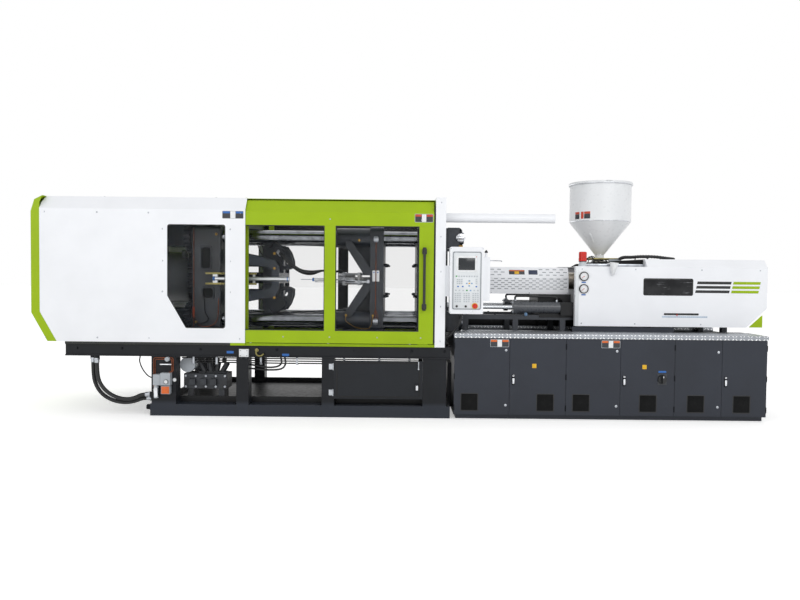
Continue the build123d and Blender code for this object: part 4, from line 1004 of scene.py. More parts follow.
def smooth_run(points: Sequence[Point], per_run: int = 8) -> list[Vector]:
    """Give close points on a smooth line through the given ones.

    Args:
        points: places to pass through.
        per_run: points for each run.

    Returns:
        The line's points.
    """
    knots = [Vector(p) for p in points]
    padded = [2 * knots[0] - knots[1], *knots, 2 * knots[-1] - knots[-2]]
    line = []
    for first, second, third, fourth in zip(padded, padded[1:], padded[2:], padded[3:]):
        for t in (step / per_run for step in range(per_run)):
            line.append(0.5 * (2 * second + (third - first) * t
                               + (2 * first - 5 * second + 4 * third - fourth) * t * t
                               + (3 * second - first - 3 * third + fourth) * t ** 3))
    return [*line, knots[-1]]


def rounded_run(points: Sequence[Point], bend: float) -> list[Vector]:
    """Give the points of straight runs joined by bends.

    Args:
        points: the corners, with both ends.
        bend: radius of the bends.

    Returns:
        The line's points.
    """
    steps = 6
    knots = [Vector(p) for p in points]
    line = [knots[0]]
    for before, at, after in zip(knots, knots[1:], knots[2:]):
        reach = min(bend, 0.45 * (at - before).length, 0.45 * (after - at).length)
        start = at + (before - at).normalized() * reach
        end = at + (after - at).normalized() * reach
        for t in (step / steps for step in range(steps + 1)):
            line.append((1 - t) ** 2 * start + 2 * t * (1 - t) * at + t * t * end)
    return [*line, knots[-1]]


def repeat(name: str, unit: Shape, places: Sequence[Point], finish: str, body: str = "base",
           slot: str = "", turn: float = 0.0) -> bpy.types.Object:
    """Copy a small shape to many places with Geometry Nodes and make one plain mesh of it.

    Args:
        name: the piece's name.
        unit: the shape, made around the origin.
        places: where its copies go.
        finish: its finish.
        body: the CAD body that the piece rides on.
        slot: the record's material slot, if it isn't the finish's usual one.
        turn: the largest random turn about z, in radians.

    Returns:
        The piece.
    """
    unit_object = linked(f"{name}_unit", unit.mesh_data(f"{name}_unit"))
    dots = bpy.data.meshes.new(f"{name}_places")
    dots.from_pydata([tuple(p) for p in places], [], [])
    host = linked(f"{name}_places", dots)
    modifier = host.modifiers.new("repeat", "NODES")
    modifier.node_group = _repeat_group()
    values = {"Unit": unit_object, "Finish": Palette.made[finish], "Turn": turn, "Seed": TURN_SEED}
    for item in modifier.node_group.interface.items_tree:
        if item.in_out == "INPUT" and item.name in values:
            modifier[item.identifier] = values[item.name]
    data = bpy.data.meshes.new_from_object(host.evaluated_get(bpy.context.evaluated_depsgraph_get()))
    data.name = name
    host.modifiers.clear()
    for item in (unit_object, host):
        bpy.data.objects.remove(item)
    if not data.materials:
        data.materials.append(Palette.made[finish])
    return Palette.settle(linked(name, data), finish, body, slot)


def _repeat_group() -> bpy.types.NodeTree:
    """Give the node group behind repeat().

    Returns:
        The group, made once.
    """
    group = bpy.data.node_groups.get("repeat_at_places")
    if group:
        return group
    group = bpy.data.node_groups.new("repeat_at_places", "GeometryNodeTree")
    for name, kind in (("Places", "Geometry"), ("Unit", "Object"), ("Finish", "Material"), ("Turn", "Float"),
                       ("Seed", "Int")):
        group.interface.new_socket(name, in_out="INPUT", socket_type=f"NodeSocket{kind}")
    group.interface.new_socket("Geometry", in_out="OUTPUT", socket_type="NodeSocketGeometry")
    entry, leave, info, points, chance, spin, copies, real, coat = (group.nodes.new(kind) for kind in (
        "NodeGroupInput", "NodeGroupOutput", "GeometryNodeObjectInfo", "GeometryNodeMeshToPoints",
        "FunctionNodeRandomValue", "ShaderNodeCombineXYZ", "GeometryNodeInstanceOnPoints",
        "GeometryNodeRealizeInstances", "GeometryNodeSetMaterial"))
    chance.data_type = "FLOAT"
    for source, output, target, socket in (
            (entry, "Unit", info, "Object"), (entry, "Places", points, "Mesh"), (entry, "Turn", chance, 3),
            (entry, "Seed", chance, "Seed"), (chance, 1, spin, "Z"), (points, "Points", copies, "Points"),
            (info, "Geometry", copies, "Instance"), (spin, "Vector", copies, "Rotation"),
            (copies, "Instances", real, "Geometry"), (real, "Geometry", coat, "Geometry"),
            (entry, "Finish", coat, "Material"), (coat, "Geometry", leave, "Geometry")):
        group.links.new(source.outputs[output], target.inputs[socket])
    return group


def backdrop_rays(tree: bpy.types.NodeTree) -> Socket:
    """Tell the rays that show the backdrop from those that light the machine.

    Args:
        tree: the node tree to add to.

    Returns:
        A socket that is 1 for camera, glossy and transmission rays and 0 for the others.
    """
    path = tree.nodes.new("ShaderNodeLightPath")
    total = path.outputs["Is Camera Ray"]
    for kind in ("Is Glossy Ray", "Is Transmission Ray"):
        add = tree.nodes.new("ShaderNodeMath")
        add.use_clamp = True
        tree.links.new(total, add.inputs[0])
        tree.links.new(path.outputs[kind], add.inputs[1])
        total = add.outputs[0]
    return total


@dataclass
class Studio:
    """Camera, light and floor.

    Attributes:
        eye: the camera's place.
        tilt: degrees that it looks down.
        roll: degrees that it is turned anticlockwise.
        lens_mm: focal length for the sensor's width.
        sensor_mm: that width.
        ambient: strength of the world's light on surfaces.
        glow: how much whiter the floor looks than its shaded colour.
    """

    eye: Point = (0.0, -7.93, 1.404)
    tilt: float = 1.97
    roll: float = 0.573
    lens_mm: float = 32.72
    sensor_mm: float = 36.0
    ambient: float = 0.68
    glow: float = 0.4

    def camera(self) -> None:
        """Create the camera and make it the scene's own."""
        data = bpy.data.cameras.new("camera")
        data.lens = self.lens_mm
        data.sensor_width = self.sensor_mm
        data.clip_end = 200
        camera = linked("camera", data)
        turn = Matrix.Rotation(math.radians(90 - self.tilt), 4, "X")
        turn = turn @ Matrix.Rotation(math.radians(self.roll), 4, "Z")
        camera.matrix_world = Matrix.Translation(self.eye) @ turn
        bpy.context.scene.camera = camera

    def floor(self) -> None:
        """Lay the pale floor."""
        part = bmesh.new()
        bmesh.ops.create_circle(part, cap_ends=True, segments=96, radius=70)
        data = bpy.data.meshes.new("studio_floor")
        part.to_mesh(data)
        part.free()
        graph = Graph("studio_floor")
        graph.tint(graph.ramp(graph.noise(900, 3), 0.3, 0.7), "f7f7f7", "f4f4f4")
        graph.set(Roughness=0.75, Emission_Color=linear("ffffff"))
        rays = backdrop_rays(graph.material.node_tree)
        graph.drive(Emission_Strength=graph.math("MULTIPLY", rays, self.glow))
        data.materials.append(graph.material)
        floor = linked("studio_floor", data)
        floor.location.z = -0.001

    def light(self, name: str, place: Point, target: Point, size: Pair, power: float) -> None:
        """Add a soft box.

        Args:
            name: its name.
            place: where it is.
            target: what it faces.
            size: width and height.
            power: watts.
        """
        data = bpy.data.lights.new(name, "AREA")
        data.shape = "RECTANGLE"
        data.size, data.size_y = size
        data.energy = power
        turn = (Vector(target) - Vector(place)).to_track_quat("-Z", "Y").to_matrix().to_4x4()
        linked(name, data).matrix_world = Matrix.Translation(place) @ turn

    def build(self) -> None:
        """Set up the whole studio."""
        self.camera()
        self.floor()
        world = bpy.data.worlds.new("studio")
        world.use_nodes = True
        background = world.node_tree.nodes["Background"]
        background.inputs["Color"].default_value = linear("ffffff")
        strength = world.node_tree.nodes.new("ShaderNodeMapRange")
        strength.inputs["To Min"].default_value = self.ambient
        world.node_tree.links.new(backdrop_rays(world.node_tree), strength.inputs["Value"])
        world.node_tree.links.new(strength.outputs["Result"], background.inputs["Strength"])
        bpy.context.scene.world = world
        bpy.context.scene.view_settings.view_transform = "Standard"
        self.light("key", (4.0, -8.0, 5.0), (0, 0, 1.0), (6, 3), 200)
        self.light("fill", (-5.0, -7.0, 3.5), (-1, 0, 1.0), (4, 4), 80)
        self.light("back", (0, 7.0, 6.0), (0, 0, 1.0), (8, 3), 120)


@dataclass
class ReturnHoses:
    """The two oil hoses that hang free under the left end."""

    radius: float = 0.019
    outer: tuple[Point, ...] = (
        (-3.04, -0.737, 0.555), (-3.04, -0.737, 0.43), (-3.026, -0.737, 0.305), (-2.96, -0.737, 0.195),
        (-2.85, -0.737, 0.128), (-2.722, -0.737, 0.106), (-2.62, -0.737, 0.124), (-2.545, -0.737, 0.158),
        (-2.46, -0.737, 0.158),
    )
    inner: tuple[Point, ...] = (
        (-2.983, -0.782, 0.555), (-2.983, -0.782, 0.44), (-2.968, -0.782, 0.328), (-2.905, -0.782, 0.235),
        (-2.808, -0.782, 0.172), (-2.7, -0.782, 0.148), (-2.61, -0.782, 0.164), (-2.54, -0.782, 0.202),
        (-2.46, -0.782, 0.202),
    )

    def lay(self, name: str, route: Sequence[Point]) -> None:
        """Lay one hose on a smooth spline in place of its CAD node.

        Args:
            name: the CAD node.
            route: control points.
        """
        data = bpy.data.curves.new(f"{name}_line", "CURVE")
        data.dimensions = "3D"
        data.resolution_u = 10
        spline = data.splines.new("NURBS")
        spline.points.add(len(route) - 1)
        for point, place in zip(spline.points, route):
            point.co = (*place, 1)
        spline.order_u = 3
        spline.use_endpoint_u = True
        hose = linked(f"{name}_line", data)
        centre = bpy.data.meshes.new_from_object(hose)
        bpy.data.meshes.remove(centre)
        data.bevel_depth = self.radius
        data.bevel_resolution = 6
        data.use_fill_caps = True
        data.materials.append(Palette.made["black_rubber"])
        Palette.settle(hose, "black_rubber", "base")
        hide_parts(name)

    def build(self) -> None:
        """Make the hoses and their end fittings."""
        for name, route in (("outer_hose", self.outer), ("inner_hose", self.inner)):
            self.lay(name, route)
            fittings = Shape()
            for end, inside in ((route[0], route[1]), (route[-1], route[-2])):
                way = (Vector(inside) - Vector(end)).normalized()
                start = Vector(end)
                fittings.rod(tuple(start), tuple(start + 0.045 * way), 0.0235, 0.002)
                fittings.rod(tuple(start - 0.004 * way), tuple(start + 0.014 * way), 0.03, 0.0015, 6)
            fittings.place(f"{name}_fittings", "zinc")


class Part:
    """A sub-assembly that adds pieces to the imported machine."""

    def eyes(self, name: str, body: str, places: Sequence[Point], profile: Sequence[Pair], lift: float,
             ring: Point, steps: int, sides: int) -> None:
        """Add lifting eyes.

        Args:
            name: the piece's name.
            body: the body that it rides on.
            places: their seats.
            profile: radius and height of the foot.
            lift: height of the ring's middle above the seat.
            ring: half width, half height and wire radius of the ring.
            steps: points of the ring, less one.
            sides: sides of its wire.
        """
        wide, tall, wire = ring
        shape = Shape()
        for x, y, z in places:
            shape.lathe(profile, (x, y, z), Axis.UP, 24)
            turns = [2 * math.pi * n / steps for n in range(steps + 1)]
            route = [(x + wide * math.cos(t), y, z + lift + tall * math.sin(t)) for t in turns]
            shape.pipe(route, wire, sides)
        shape.place(name, "zinc", body)

    def screws_on_both(self, names: tuple[str, str], profile: Sequence[Pair], spots: Sequence[Point],
                       body: str, turn: float = 0.0) -> None:
        """Set the same small screws on the front and, mirrored, on the rear.

        Args:
            names: the names of both pieces.
            profile: radius and height of a screw.
            spots: their seats on the front.
            body: the body that they ride on.
            turn: the largest random turn, in radians.
        """
        for (side, _), name in zip(SIDES, names):
            unit = Shape().lathe(profile, (0, 0, 0), AWAY[side], 16)
            repeat(name, unit, [(x, -side * y, z) for x, y, z in spots], "zinc", body, turn=turn)

    def label(self, name: str, low: Pair, high: Pair, face: float, body: str,
              top: str = "orange_label") -> None:
        """Add a plain label plate with a coloured band and a pale middle.

        Args:
            name: the first part of its pieces' names.
            low: lowest x and z.
            high: highest x and z.
            face: y of the face that it lies on.
            body: the body that it rides on.
            top: finish of the band.
        """
        (left, bottom), (right, roof) = low, high
        wide, tall = right - left, roof - bottom
        outline = rectangle(left, right, bottom, roof)
        steps = [face + math.copysign(step, face) for step in (0.0006, 0.001, 0.0014)]
        (Shape().plate(outline, (face, steps[0]), corner=0.008, bevel=0.0002)
         .place(f"{name}_edge", "key_plastic", body))
        (Shape().plate(inset(outline, 0.04 * tall), (steps[0], steps[1]), corner=0.006, bevel=0.0002)
         .place(f"{name}_plate", "dark_plastic", body))
        band = Shape()
        for start, end in ((0.03, 0.36), (0.64, 0.97)):
            half = rectangle(left + start * wide, left + end * wide, roof - 0.32 * tall, roof - 0.06 * tall)
            band.plate(half, (steps[1], steps[2]), corner=0.002, bevel=0.0001)
        band.place(f"{name}_band", top, body, "red_plastic")
        middle = rectangle(left + 0.38 * wide, left + 0.62 * wide, bottom + 0.05 * tall, roof - 0.05 * tall)
        (Shape().plate(middle, (steps[1], steps[2]), corner=0.002, bevel=0.0001)
         .place(f"{name}_middle", "white_plastic", body))


@dataclass
class Guards(Part):
    """Seals, rollers, screws, handles, label plates and roof pieces of the covers and the sliding doors."""

    cover_window: tuple[Pair, ...] = ((-2.266, 1.181), (-2.086, 0.868), (-1.705, 0.868), (-1.705, 1.873),
                                      (-2.266, 1.873))
    door_windows: tuple[tuple[float, float], ...] = ((-1.535, -0.742), (-0.631, 0.181))
    window_heights: Pair = (0.853, 1.875)
    door_face: float = 0.838

    def seals(self) -> None:
        """Run a black seal round the edge of each window."""
        for side, place in SIDES:
            run = (side * 0.8435, side * 0.8512)
            (Shape().plate(inset(self.cover_window, -0.0022), run, corner=0.024, bevel=0.0008,
                           holes=[inset(self.cover_window, 0.0045)])
             .place(f"{place}_cover_seal", "seal_rubber"))
            rings = Shape()
            run = (side * 0.803, side * (self.door_face + 0.0012))
            for left, right in self.door_windows:
                outline = rectangle(left, right, *self.window_heights)
                rings.plate(inset(outline, -0.0022), run, bevel=0.0008,
                            holes=[rounded(inset(outline, 0.0045), 0.022)])
            rings.place(f"{place}_door_seals", "seal_rubber", f"{place}_door")

    def rollers(self) -> None:
        """Add the rollers that the doors run on and the buffers at the end of their travel."""
        for side, place in SIDES:
            wheels = Shape()
            for x in (-1.46, -0.7, 0.1):
                wheels.lathe([(0, -0.007), (0.017, -0.007), (0.017, -0.003), (0.0145, -0.001),
                              (0.0145, 0.001), (0.017, 0.003), (0.017, 0.007), (0, 0.007)],
                             (x, side * 0.819, 0.7405), Axis.BACK, 32)
                wheels.rod((x, side * 0.808, 0.7405), (x, side * 0.832, 0.7405), 0.005)
            wheels.place(f"{place}_door_rollers", "zinc", f"{place}_door")
            (Shape().plate(rectangle(0.3275, 0.3405, 0.74, 2.06), (side * 0.8, side * 0.836), corner=0.003)
             .place(f"{place}_door_stop_seal", "seal_rubber"))
            windows = [rectangle(left, right, *self.window_heights) for left, right in self.door_windows]
            (Shape().plate(rectangle(-1.64, 0.31, 0.76, 2.01), (side * 0.7925, side * 0.7955), holes=windows)
             .place(f"{place}_door_inner_trim", "black_paint", f"{place}_door"))
            # a dark strip along the foot of each cover: painted shadow along the door track
            (Shape().box((-3.27, side * 0.8462, 0.7002), (-1.655, side * 0.8482, 0.7245), 0.0006)
             .place(f"{place}_cover_sweep", "seal_rubber"))
            rods = Shape().rod((-1.49, side * 0.7215, 2.084), (0.27, side * 0.7215, 2.084), 0.011)
            for x in (-1.45, -0.62, 0.22):
                rods.box((x - 0.02, side * 0.7215 - 0.016, 2.066), (x + 0.02, side * 0.7215 + 0.016, 2.096),
                         0.003)
            rods.place(f"{place}_beam_rod", "ground_steel")

    def screws(self) -> None:
        """Set the small screws that hold the sheets and panes."""
        spots = [(x, FRONT, z) for x in (-3.46, -2.95, -2.45, -1.56) for z in (0.765, 1.985)]
        spots += [(x, FRONT, z) for x in (-2.315, -1.655) for z in (1.22, 1.52, 1.83)]
        spots += [(0.392, FRONT, z) for z in (0.76, 1.1, 1.44, 1.78, 2.11)]
        self.screws_on_both(("front_cover_screws", "rear_cover_screws"),
                            [(0, 0), (0.0085, 0), (0.0085, 0.0014), (0.0062, 0.0034), (0.0032, 0.0038),
                             (0.0028, 0.0016), (0, 0.0016)], spots, "base", 3.1)
        for side, place in SIDES:
            profile = [(0, 0), (0.007, 0), (0.007, 0.001), (0.005, 0.0028), (0, 0.003)]
            unit = Shape().lathe(profile, (0, 0, 0), AWAY[side], 16)
            spots = [(x, side * self.door_face, z) for x in (-1.62, -0.6865, 0.205) for z in (0.79, 1.94)]
            spots += [(x, side * self.door_face, 0.79) for x in (-1.14, -0.22)]
            repeat(f"{place}_door_screws", unit, spots, "zinc", f"{place}_door")

    def handle(self) -> None:
        """Add the clamp ends of the pull handle on the front door and a handle on the rear door."""
        ends = Shape()
        for z in (1.083, 1.649):
            ends.lathe([(0, -0.024), (0.013, -0.024), (0.0185, -0.018), (0.0195, 0), (0.0185, 0.018),
                        (0.013, 0.024), (0, 0.024)], (0.234, -0.881, z), Axis.UP, 32)
            ends.lathe([(0.0185, 0), (0.0185, 0.026), (0.0155, 0.036), (0, 0.036)], (0.234, -0.8382, z),
                       Axis.FRONT, 32)
        ends.place("front_handle_ends", "black_plastic", "front_door")
        (Shape().pipe([(0.234, 0.8385, 1.12), (0.234, 0.849, 1.12), (0.234, 0.849, 1.6),
                       (0.234, 0.8385, 1.6)], 0.009, 20, 0.006)
         .place("rear_door_grip", "black_plastic", "rear_door"))

    def labels(self) -> None:
        """Add the label plates of the covers and the sliding doors."""
        self.label("cover_label", (-1.734, 1.934), (-1.526, 2.01), -0.8502, "base", "blue_plastic")
        self.label("door_label", (0.137, 1.918), (0.316, 1.999), -0.8382, "front_door", "red_label")
        self.label("rear_cover_label", (-1.734, 1.934), (-1.526, 2.01), 0.8502, "base", "blue_plastic")
        self.label("rear_door_label", (0.137, 1.918), (0.316, 1.999), 0.8382, "rear_door", "red_label")

    def roof(self) -> None:
        """Add the edging, struts and lifting eyes on top of the guards."""
        edging = Shape()
        for side in (-1, 1):
            edging.box((-1.525, side * 0.756 - 0.005, 2.14), (-1.5105, side * 0.756 + 0.005, 2.1465), 0.001)
            for x in (-2.9, -2.2):
                edging.box((x - 0.03, side * 0.72 - 0.014, 2.141), (x + 0.03, side * 0.72 + 0.014, 2.145),
                           0.001)
        for x in (-3.3, -2.5, -1.68):
            edging.box((x - 0.02, -0.7, 2.1412), (x + 0.02, 0.7, 2.1452), 0.0012)
        edging.place("roof_edging", "green_paint")
        seats = [(x, y, 2.1412) for x in (-3.05, -1.9) for y in (-0.42, 0.42)]
        self.eyes("roof_lifting_eyes", "base", seats,
                  [(0.016, 0), (0.016, 0.008), (0.009, 0.011), (0.009, 0.014), (0, 0.014)], 0.0248,
                  (0.017, 0.0125, 0.0045), 16, 10)

    def build(self) -> None:
        """Add all pieces."""
        self.seals()
        self.rollers()
        self.screws()
        self.handle()
        self.labels()
        self.roof()


@dataclass
class Clamp(Part):
    """Fittings, oil lines, sensors and hoses of the toggle clamp."""

    copper_x: float = -0.248

    def tie_bar_spots(self, x: float, reach: float) -> list[Point]:
        """Give four places round each of the four tie bars.

        Args:
            x: where they lie.
            reach: distance from the bar's axis along y and z.

        Returns:
            The places.
        """
        return [(x, y + dy, z + dz) for y in (-TIE_BAR_OFFSET, TIE_BAR_OFFSET)
                for z in (CLAMP_HEIGHT - TIE_BAR_OFFSET, CLAMP_HEIGHT + TIE_BAR_OFFSET)
                for dy in (-reach, reach) for dz in (-reach, reach)]

    def mould_clamps(self, name: str, body: str, face: float, way: int) -> None:
        """Add four mould clamps to a platen.

        Args:
            name: the piece's name.
            body: the body that it rides on.
            face: x of the platen's face.
            way: 1 if the face looks right and -1 if it looks left.
        """
        clamps = Shape()
        seat = face + way * 0.0253
        for y in (-0.44, 0.44):
            for z in (1.185, 1.505):
                clamps.box((face, y - 0.03, z - 0.015), (seat, y + 0.03, z + 0.015), 0.003)
                if way > 0:
                    clamps.rod((face, y, z), (-0.117, y, z), 0.01)
                clamps.hexagon((seat, y, z), Axis.RIGHT if way > 0 else Axis.LEFT, 0.015, 0.012)
        clamps.place(name, "black_steel", body)

    def oil_lines(self) -> None:
        """Add the copper lines with their distributor blocks and the small fittings."""
        for side, place in SIDES:
            face = side * PLATEN_HALF
            off = side * 0.0075
            pipes = Shape().pipe([(self.copper_x, face + off, 0.95), (self.copper_x, face + off, 1.75)],
                                 0.0035, 10)
            for x in (-0.27, -0.226):
                pipes.pipe([(x, face + off, 0.95), (x, face + off, 0.985),
                            (self.copper_x, face + off * 1.6, 1.05)], 0.0024, 8)
            pipes.place(f"moving_{place}_copper", "copper", "moving")
            blocks = Shape()
            for z in (0.926, 1.764):
                blocks.box((-0.272, face, z - 0.02), (-0.224, face + 4 * off, z + 0.02), 0.002)
                for x in (-0.262, -0.248, -0.234):
                    blocks.hexagon((x, face + 2 * off, z + 0.02), Axis.UP, 0.006, 0.01)
                    blocks.hexagon((x, face + 2 * off, z - 0.02), Axis.DOWN, 0.006, 0.01)
            blocks.place(f"moving_{place}_distributors", "zinc", "moving")
            for name, body, spots in (("moving", "moving",
                                       ((-0.55, 0.988), (-0.275, 0.986), (-0.42, 1.752))),
                                      ("tail", "tail", ((-2.075, 0.905), (-1.87, 1.8)))):
                brass = Shape()
                for x, z in spots:
                    brass.hexagon((x, face, z), AWAY[side], 0.01, 0.012)
                    brass.rod((x, face, z), (x, face + side * 0.026, z), 0.006)
                    brass.rod((x, face + side * 0.026, z + 0.012), (x, face + side * 0.026, z - 0.012),
                              0.0065)
                brass.place(f"{name}_{place}_fittings", "brass", body)
            (Shape().pipe([(-0.55, face + side * 0.026, 0.976), (-0.545, face + side * 0.022, 0.93),
                           (-0.44, face + side * 0.016, 0.865), (-0.31, face + side * 0.012, 0.862),
                           (-0.275, face + side * 0.026, 0.974)], 0.0028, 8)
             .place(f"moving_{place}_grease_line", "brass", "moving"))
            (Shape().pipe([(-2.098, face + off, 0.86), (-2.098, face + off, 1.86)], 0.0035, 10)
             .pipe([(-2.098, face + off, 1.0), (-2.06, face + off, 0.885), (-1.95, face + off, 0.862),
                    (-1.86, face + off, 0.93), (-1.845, face + off, 1.15)], 0.003, 8)
             .place(f"tail_{place}_copper", "copper", "tail"))
            (Shape().box((-2.108, face, 0.955), (-2.092, face + 0.5 * off, 1.06))
             .place(f"tail_{place}_tag", "orange_paint", "tail"))
            (Shape().pipe([(-1.99, face + off, 1.18), (-1.985, face + side * 0.02, 1.02),
                           (-1.95, face + side * 0.024, 0.93), (-2.05, face + side * 0.02, 0.885),
                           (-2.09, face + off, 0.95)], 0.0055, 10)
             .place(f"tail_{place}_cable", "black_rubber", "tail"))

    def platens(self) -> None:
        """Add plates, mould clamps, lifting eyes and screws of the platens."""
        for side, place in SIDES:
            face = side * PLATEN_HALF
            plates = Shape()
            caps = Shape()
            for x in (-0.2835, -0.2435):
                top = face + side * 0.002
                plates.plate(rectangle(x, x + 0.031, 1.335, 1.447), (face, top), corner=0.006, bevel=0.0004)
                caps.rod((x + 0.0155, top, 1.428), (x + 0.0155, face + side * 0.0035, 1.428), 0.007)
            plates.place(f"moving_{place}_plates", "white_plastic", "moving")
            caps.place(f"moving_{place}_dots", "blue_plastic", "moving")
        for side, place in SIDES:
            face = side * PLATEN_HALF
            walls = Shape()
            pocket_shades = Shape()
            # near-black plates inside the raised ribs: painted shade that makes the pockets read as recesses
            for edges in ((-2.038, -1.914, 1.438, 1.683), (-2.022, -1.888, 1.139, 1.268)):
                outline = rectangle(*edges)
                walls.plate(outline, (face, face + side * 0.012), corner=0.022, bevel=0.004,
                            holes=[inset(outline, 0.016)])
                pocket_shades.plate(inset(outline, 0.014), (face, face + side * 0.0012), corner=0.012,
                             bevel=0.0003)
            walls.place(f"tail_{place}_pocket_ribs", "casting", "tail")
            pocket_shades.place(f"tail_{place}_pockets", "grille_black", "tail")
        self.mould_clamps("moving_mould_clamps", "moving", -0.1713, 1)
        self.mould_clamps("stationary_mould_clamps", "base", 0.1713, -1)
        for name, body, xs in (("tail", "tail", (-2.05, -1.9)), ("moving", "moving", (-0.24,)),
                               ("stationary", "base", (0.26, 0.4))):
            seats = [(x, y, CLAMP_HEIGHT + 0.5301) for x in xs for y in (-0.24, 0.24)]
            self.eyes(f"{name}_lifting_eyes", body, seats,
                      [(0.026, 0), (0.026, 0.012), (0.014, 0.016), (0.014, 0.022), (0, 0.022)], 0.046,
                      (0.026, 0.026, 0.0065), 20, 12)
        unit = Shape().screw((0, 0, 0), Axis.RIGHT, 0.016, 0.014)
        repeat("tie_bar_nut_screws", unit, self.tie_bar_spots(0.5995, 0.082), "black_steel", turn=3.1)
        unit = Shape().screw((0, 0, 0), Axis.LEFT, 0.014, 0.012)
        spots = [(-2.1976, 0.3 * math.cos(t), CLAMP_HEIGHT + 0.3 * math.sin(t))
                 for t in (2 * math.pi * (n + 0.5) / 16 for n in range(16))]
        repeat("tail_flange_screws", unit, spots + self.tie_bar_spots(-2.3656, 0.09), "black_steel", "tail",
               turn=3.1)
        profile = [(0.045, 0), (0.045, 0.012), (0.034, 0.016), (0, 0.016)]
        (Shape().lathe(profile, (0.612, -0.5325, 1.786), Axis.FRONT)
         .rod((0.56, -0.5325, 1.786), (0.64, -0.5325, 1.786), 0.0245, 0.003)
         .place("stationary_pin", "chrome", "base", "bright_chrome"))
        (Shape().rod((0.59, -0.553, 1.695), (0.63, -0.553, 1.695), 0.02, 0.002, 6)
         .rod((0.612, -0.553, 1.7), (0.612, -0.553, 1.668), 0.016, 0.002)
         .place("stationary_brass_fitting", "brass"))

    def sensors(self) -> None:
        """Add the ends and rails of the two position sensors."""
        ends = Shape()
        for x, way in ((-1.8955, 1), (-1.1215, -1)):
            ends.rod((x, -0.565, 1.35), (x + way * 0.024, -0.565, 1.35), 0.0222, 0.002, 32)
        ends.place("stroke_sensor_ends", "blue_plastic", "tail")
        rails = Shape()
        for z in (1.298, 1.402):
            rails.box((-1.9685, -0.5825, z - 0.009), (-1.452, -0.5795, z + 0.009), 0.001)
            for x in (-1.94, -1.8, -1.65, -1.48):
                rails.screw((x, -0.5825, z), Axis.FRONT, 0.006, 0.004)
        rails.place("stroke_sensor_rails", "olive_zinc", "tail")
        y = -0.608
        (Shape().rod((-0.883, y, 1.35), (-0.655, y, 1.35), 0.017, 0.001)
         .place("mould_sensor_tube", "white_plastic", "moving", "anodised"))
        caps = Shape()
        for x, way in ((-0.8835, 1), (-0.6545, -1)):
            caps.rod((x, y, 1.35), (x + way * 0.018, y, 1.35), 0.018, 0.002)
        caps.place("mould_sensor_caps", "blue_plastic", "moving")
        rod = (Shape().rod((-1.0, y, 1.35), (-0.883, y, 1.35), 0.004)
               .rod((-0.655, y, 1.35), (-0.33, y, 1.335), 0.006)
               .box((-0.335, y - 0.01, 1.318), (-0.31, -0.5301, 1.352), 0.002))
        for x in (-0.85, -0.69):
            rod.box((x - 0.009, y - 0.005, 1.326), (x + 0.009, y + 0.005, 1.3345), 0.001)
            rod.box((x - 0.009, y - 0.0005, 1.322), (x + 0.009, -0.5305, 1.3275), 0.001)
        rod.box((-0.86, -0.5355, 1.322), (-0.31, -0.5301, 1.3275), 0.001)
        rod.place("mould_sensor_rod", "zinc", "moving")

    def hoses(self) -> None:
        """Add the hoses that hang between the crosshead guide and the moving platen."""
        sizes = ((0.0, 0.0, 0.011), (0.045, 0.014, 0.011), (-0.04, 0.03, 0.008))
        for number, (shift, drop, radius) in enumerate(sizes):
            y = -0.4 - shift
            route = [(-1.262, y + 0.04, 1.632 - drop), (-1.215, y, 1.6 - drop), (-1.14, y, 1.52 - drop),
                     (-1.03, y, 1.448 - drop), (-0.92, y, 1.432 - drop), (-0.8, y, 1.44), (-0.7, y, 1.425),
                     (-0.63, y, 1.44), (-0.592, y + 0.06, 1.44)]
            hose = Shape().pipe(route, radius, 14).place(f"toggle_hose_{number}", "black_rubber", "tail")
            hose.parent = None
            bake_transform(hose)
        fittings = Shape()
        for y, z in ((-0.36, 1.632), (-0.405, 1.618), (-0.32, 1.602)):
            fittings.rod((-1.275, y, z + 0.014), (-1.25, y - 0.012, z - 0.012), 0.0135, 0.001, 6)
        fittings.place("toggle_hose_fittings", "zinc", "tail")
        guide = Shape()
        for z in (1.615, 1.46, 1.155):
            guide.hexagon((-1.31, -0.3602, z), Axis.FRONT, 0.011, 0.009)
            guide.rod((-1.31, -0.3602, z), (-1.31, -0.385, z), 0.006)
        guide.place("guide_grease_nipples", "brass", "tail")
        tie = Shape()
        for x in (-1.5, -1.46):
            tie.pipe([(x, -0.34, 1.86), (x + 0.01, -0.36, 1.74), (x + 0.05, -0.365, 1.62),
                      (x + 0.13, -0.3625, 1.55)], 0.004, 8)
        tie.place("tail_cables", "black_rubber", "tail")

    def cylinder(self) -> None:
        """Add ports and screws on the clamp cylinder."""
        ports = Shape()
        for x, turn in ((-2.3, 35), (-2.9, 35), (-2.9, -30)):
            a = math.radians(turn)
            y, z = -math.sin(a), math.cos(a)
            base = (x, 0.262 * y, CLAMP_HEIGHT + 0.262 * z)
            tip = (x, 0.315 * y, CLAMP_HEIGHT + 0.315 * z)
            ports.rod(base, tip, 0.032, 0.002, 6)
            ports.rod(tip, (x, 0.345 * y, CLAMP_HEIGHT + 0.345 * z), 0.022, 0.002)
        ports.place("clamp_cylinder_ports", "zinc", "tail")
        unit = Shape().screw((0, 0, 0), Axis.LEFT, 0.017, 0.014)
        spots = [(-3.0376, *point) for point in circle((0, CLAMP_HEIGHT), 0.195, 12, closed=False)]
        repeat("clamp_cylinder_screws", unit, spots, "black_steel", "tail", turn=3.1)

    def build(self) -> None:
        """Add all pieces."""
        self.oil_lines()
        self.platens()
        self.sensors()
        self.hoses()
        self.cylinder()


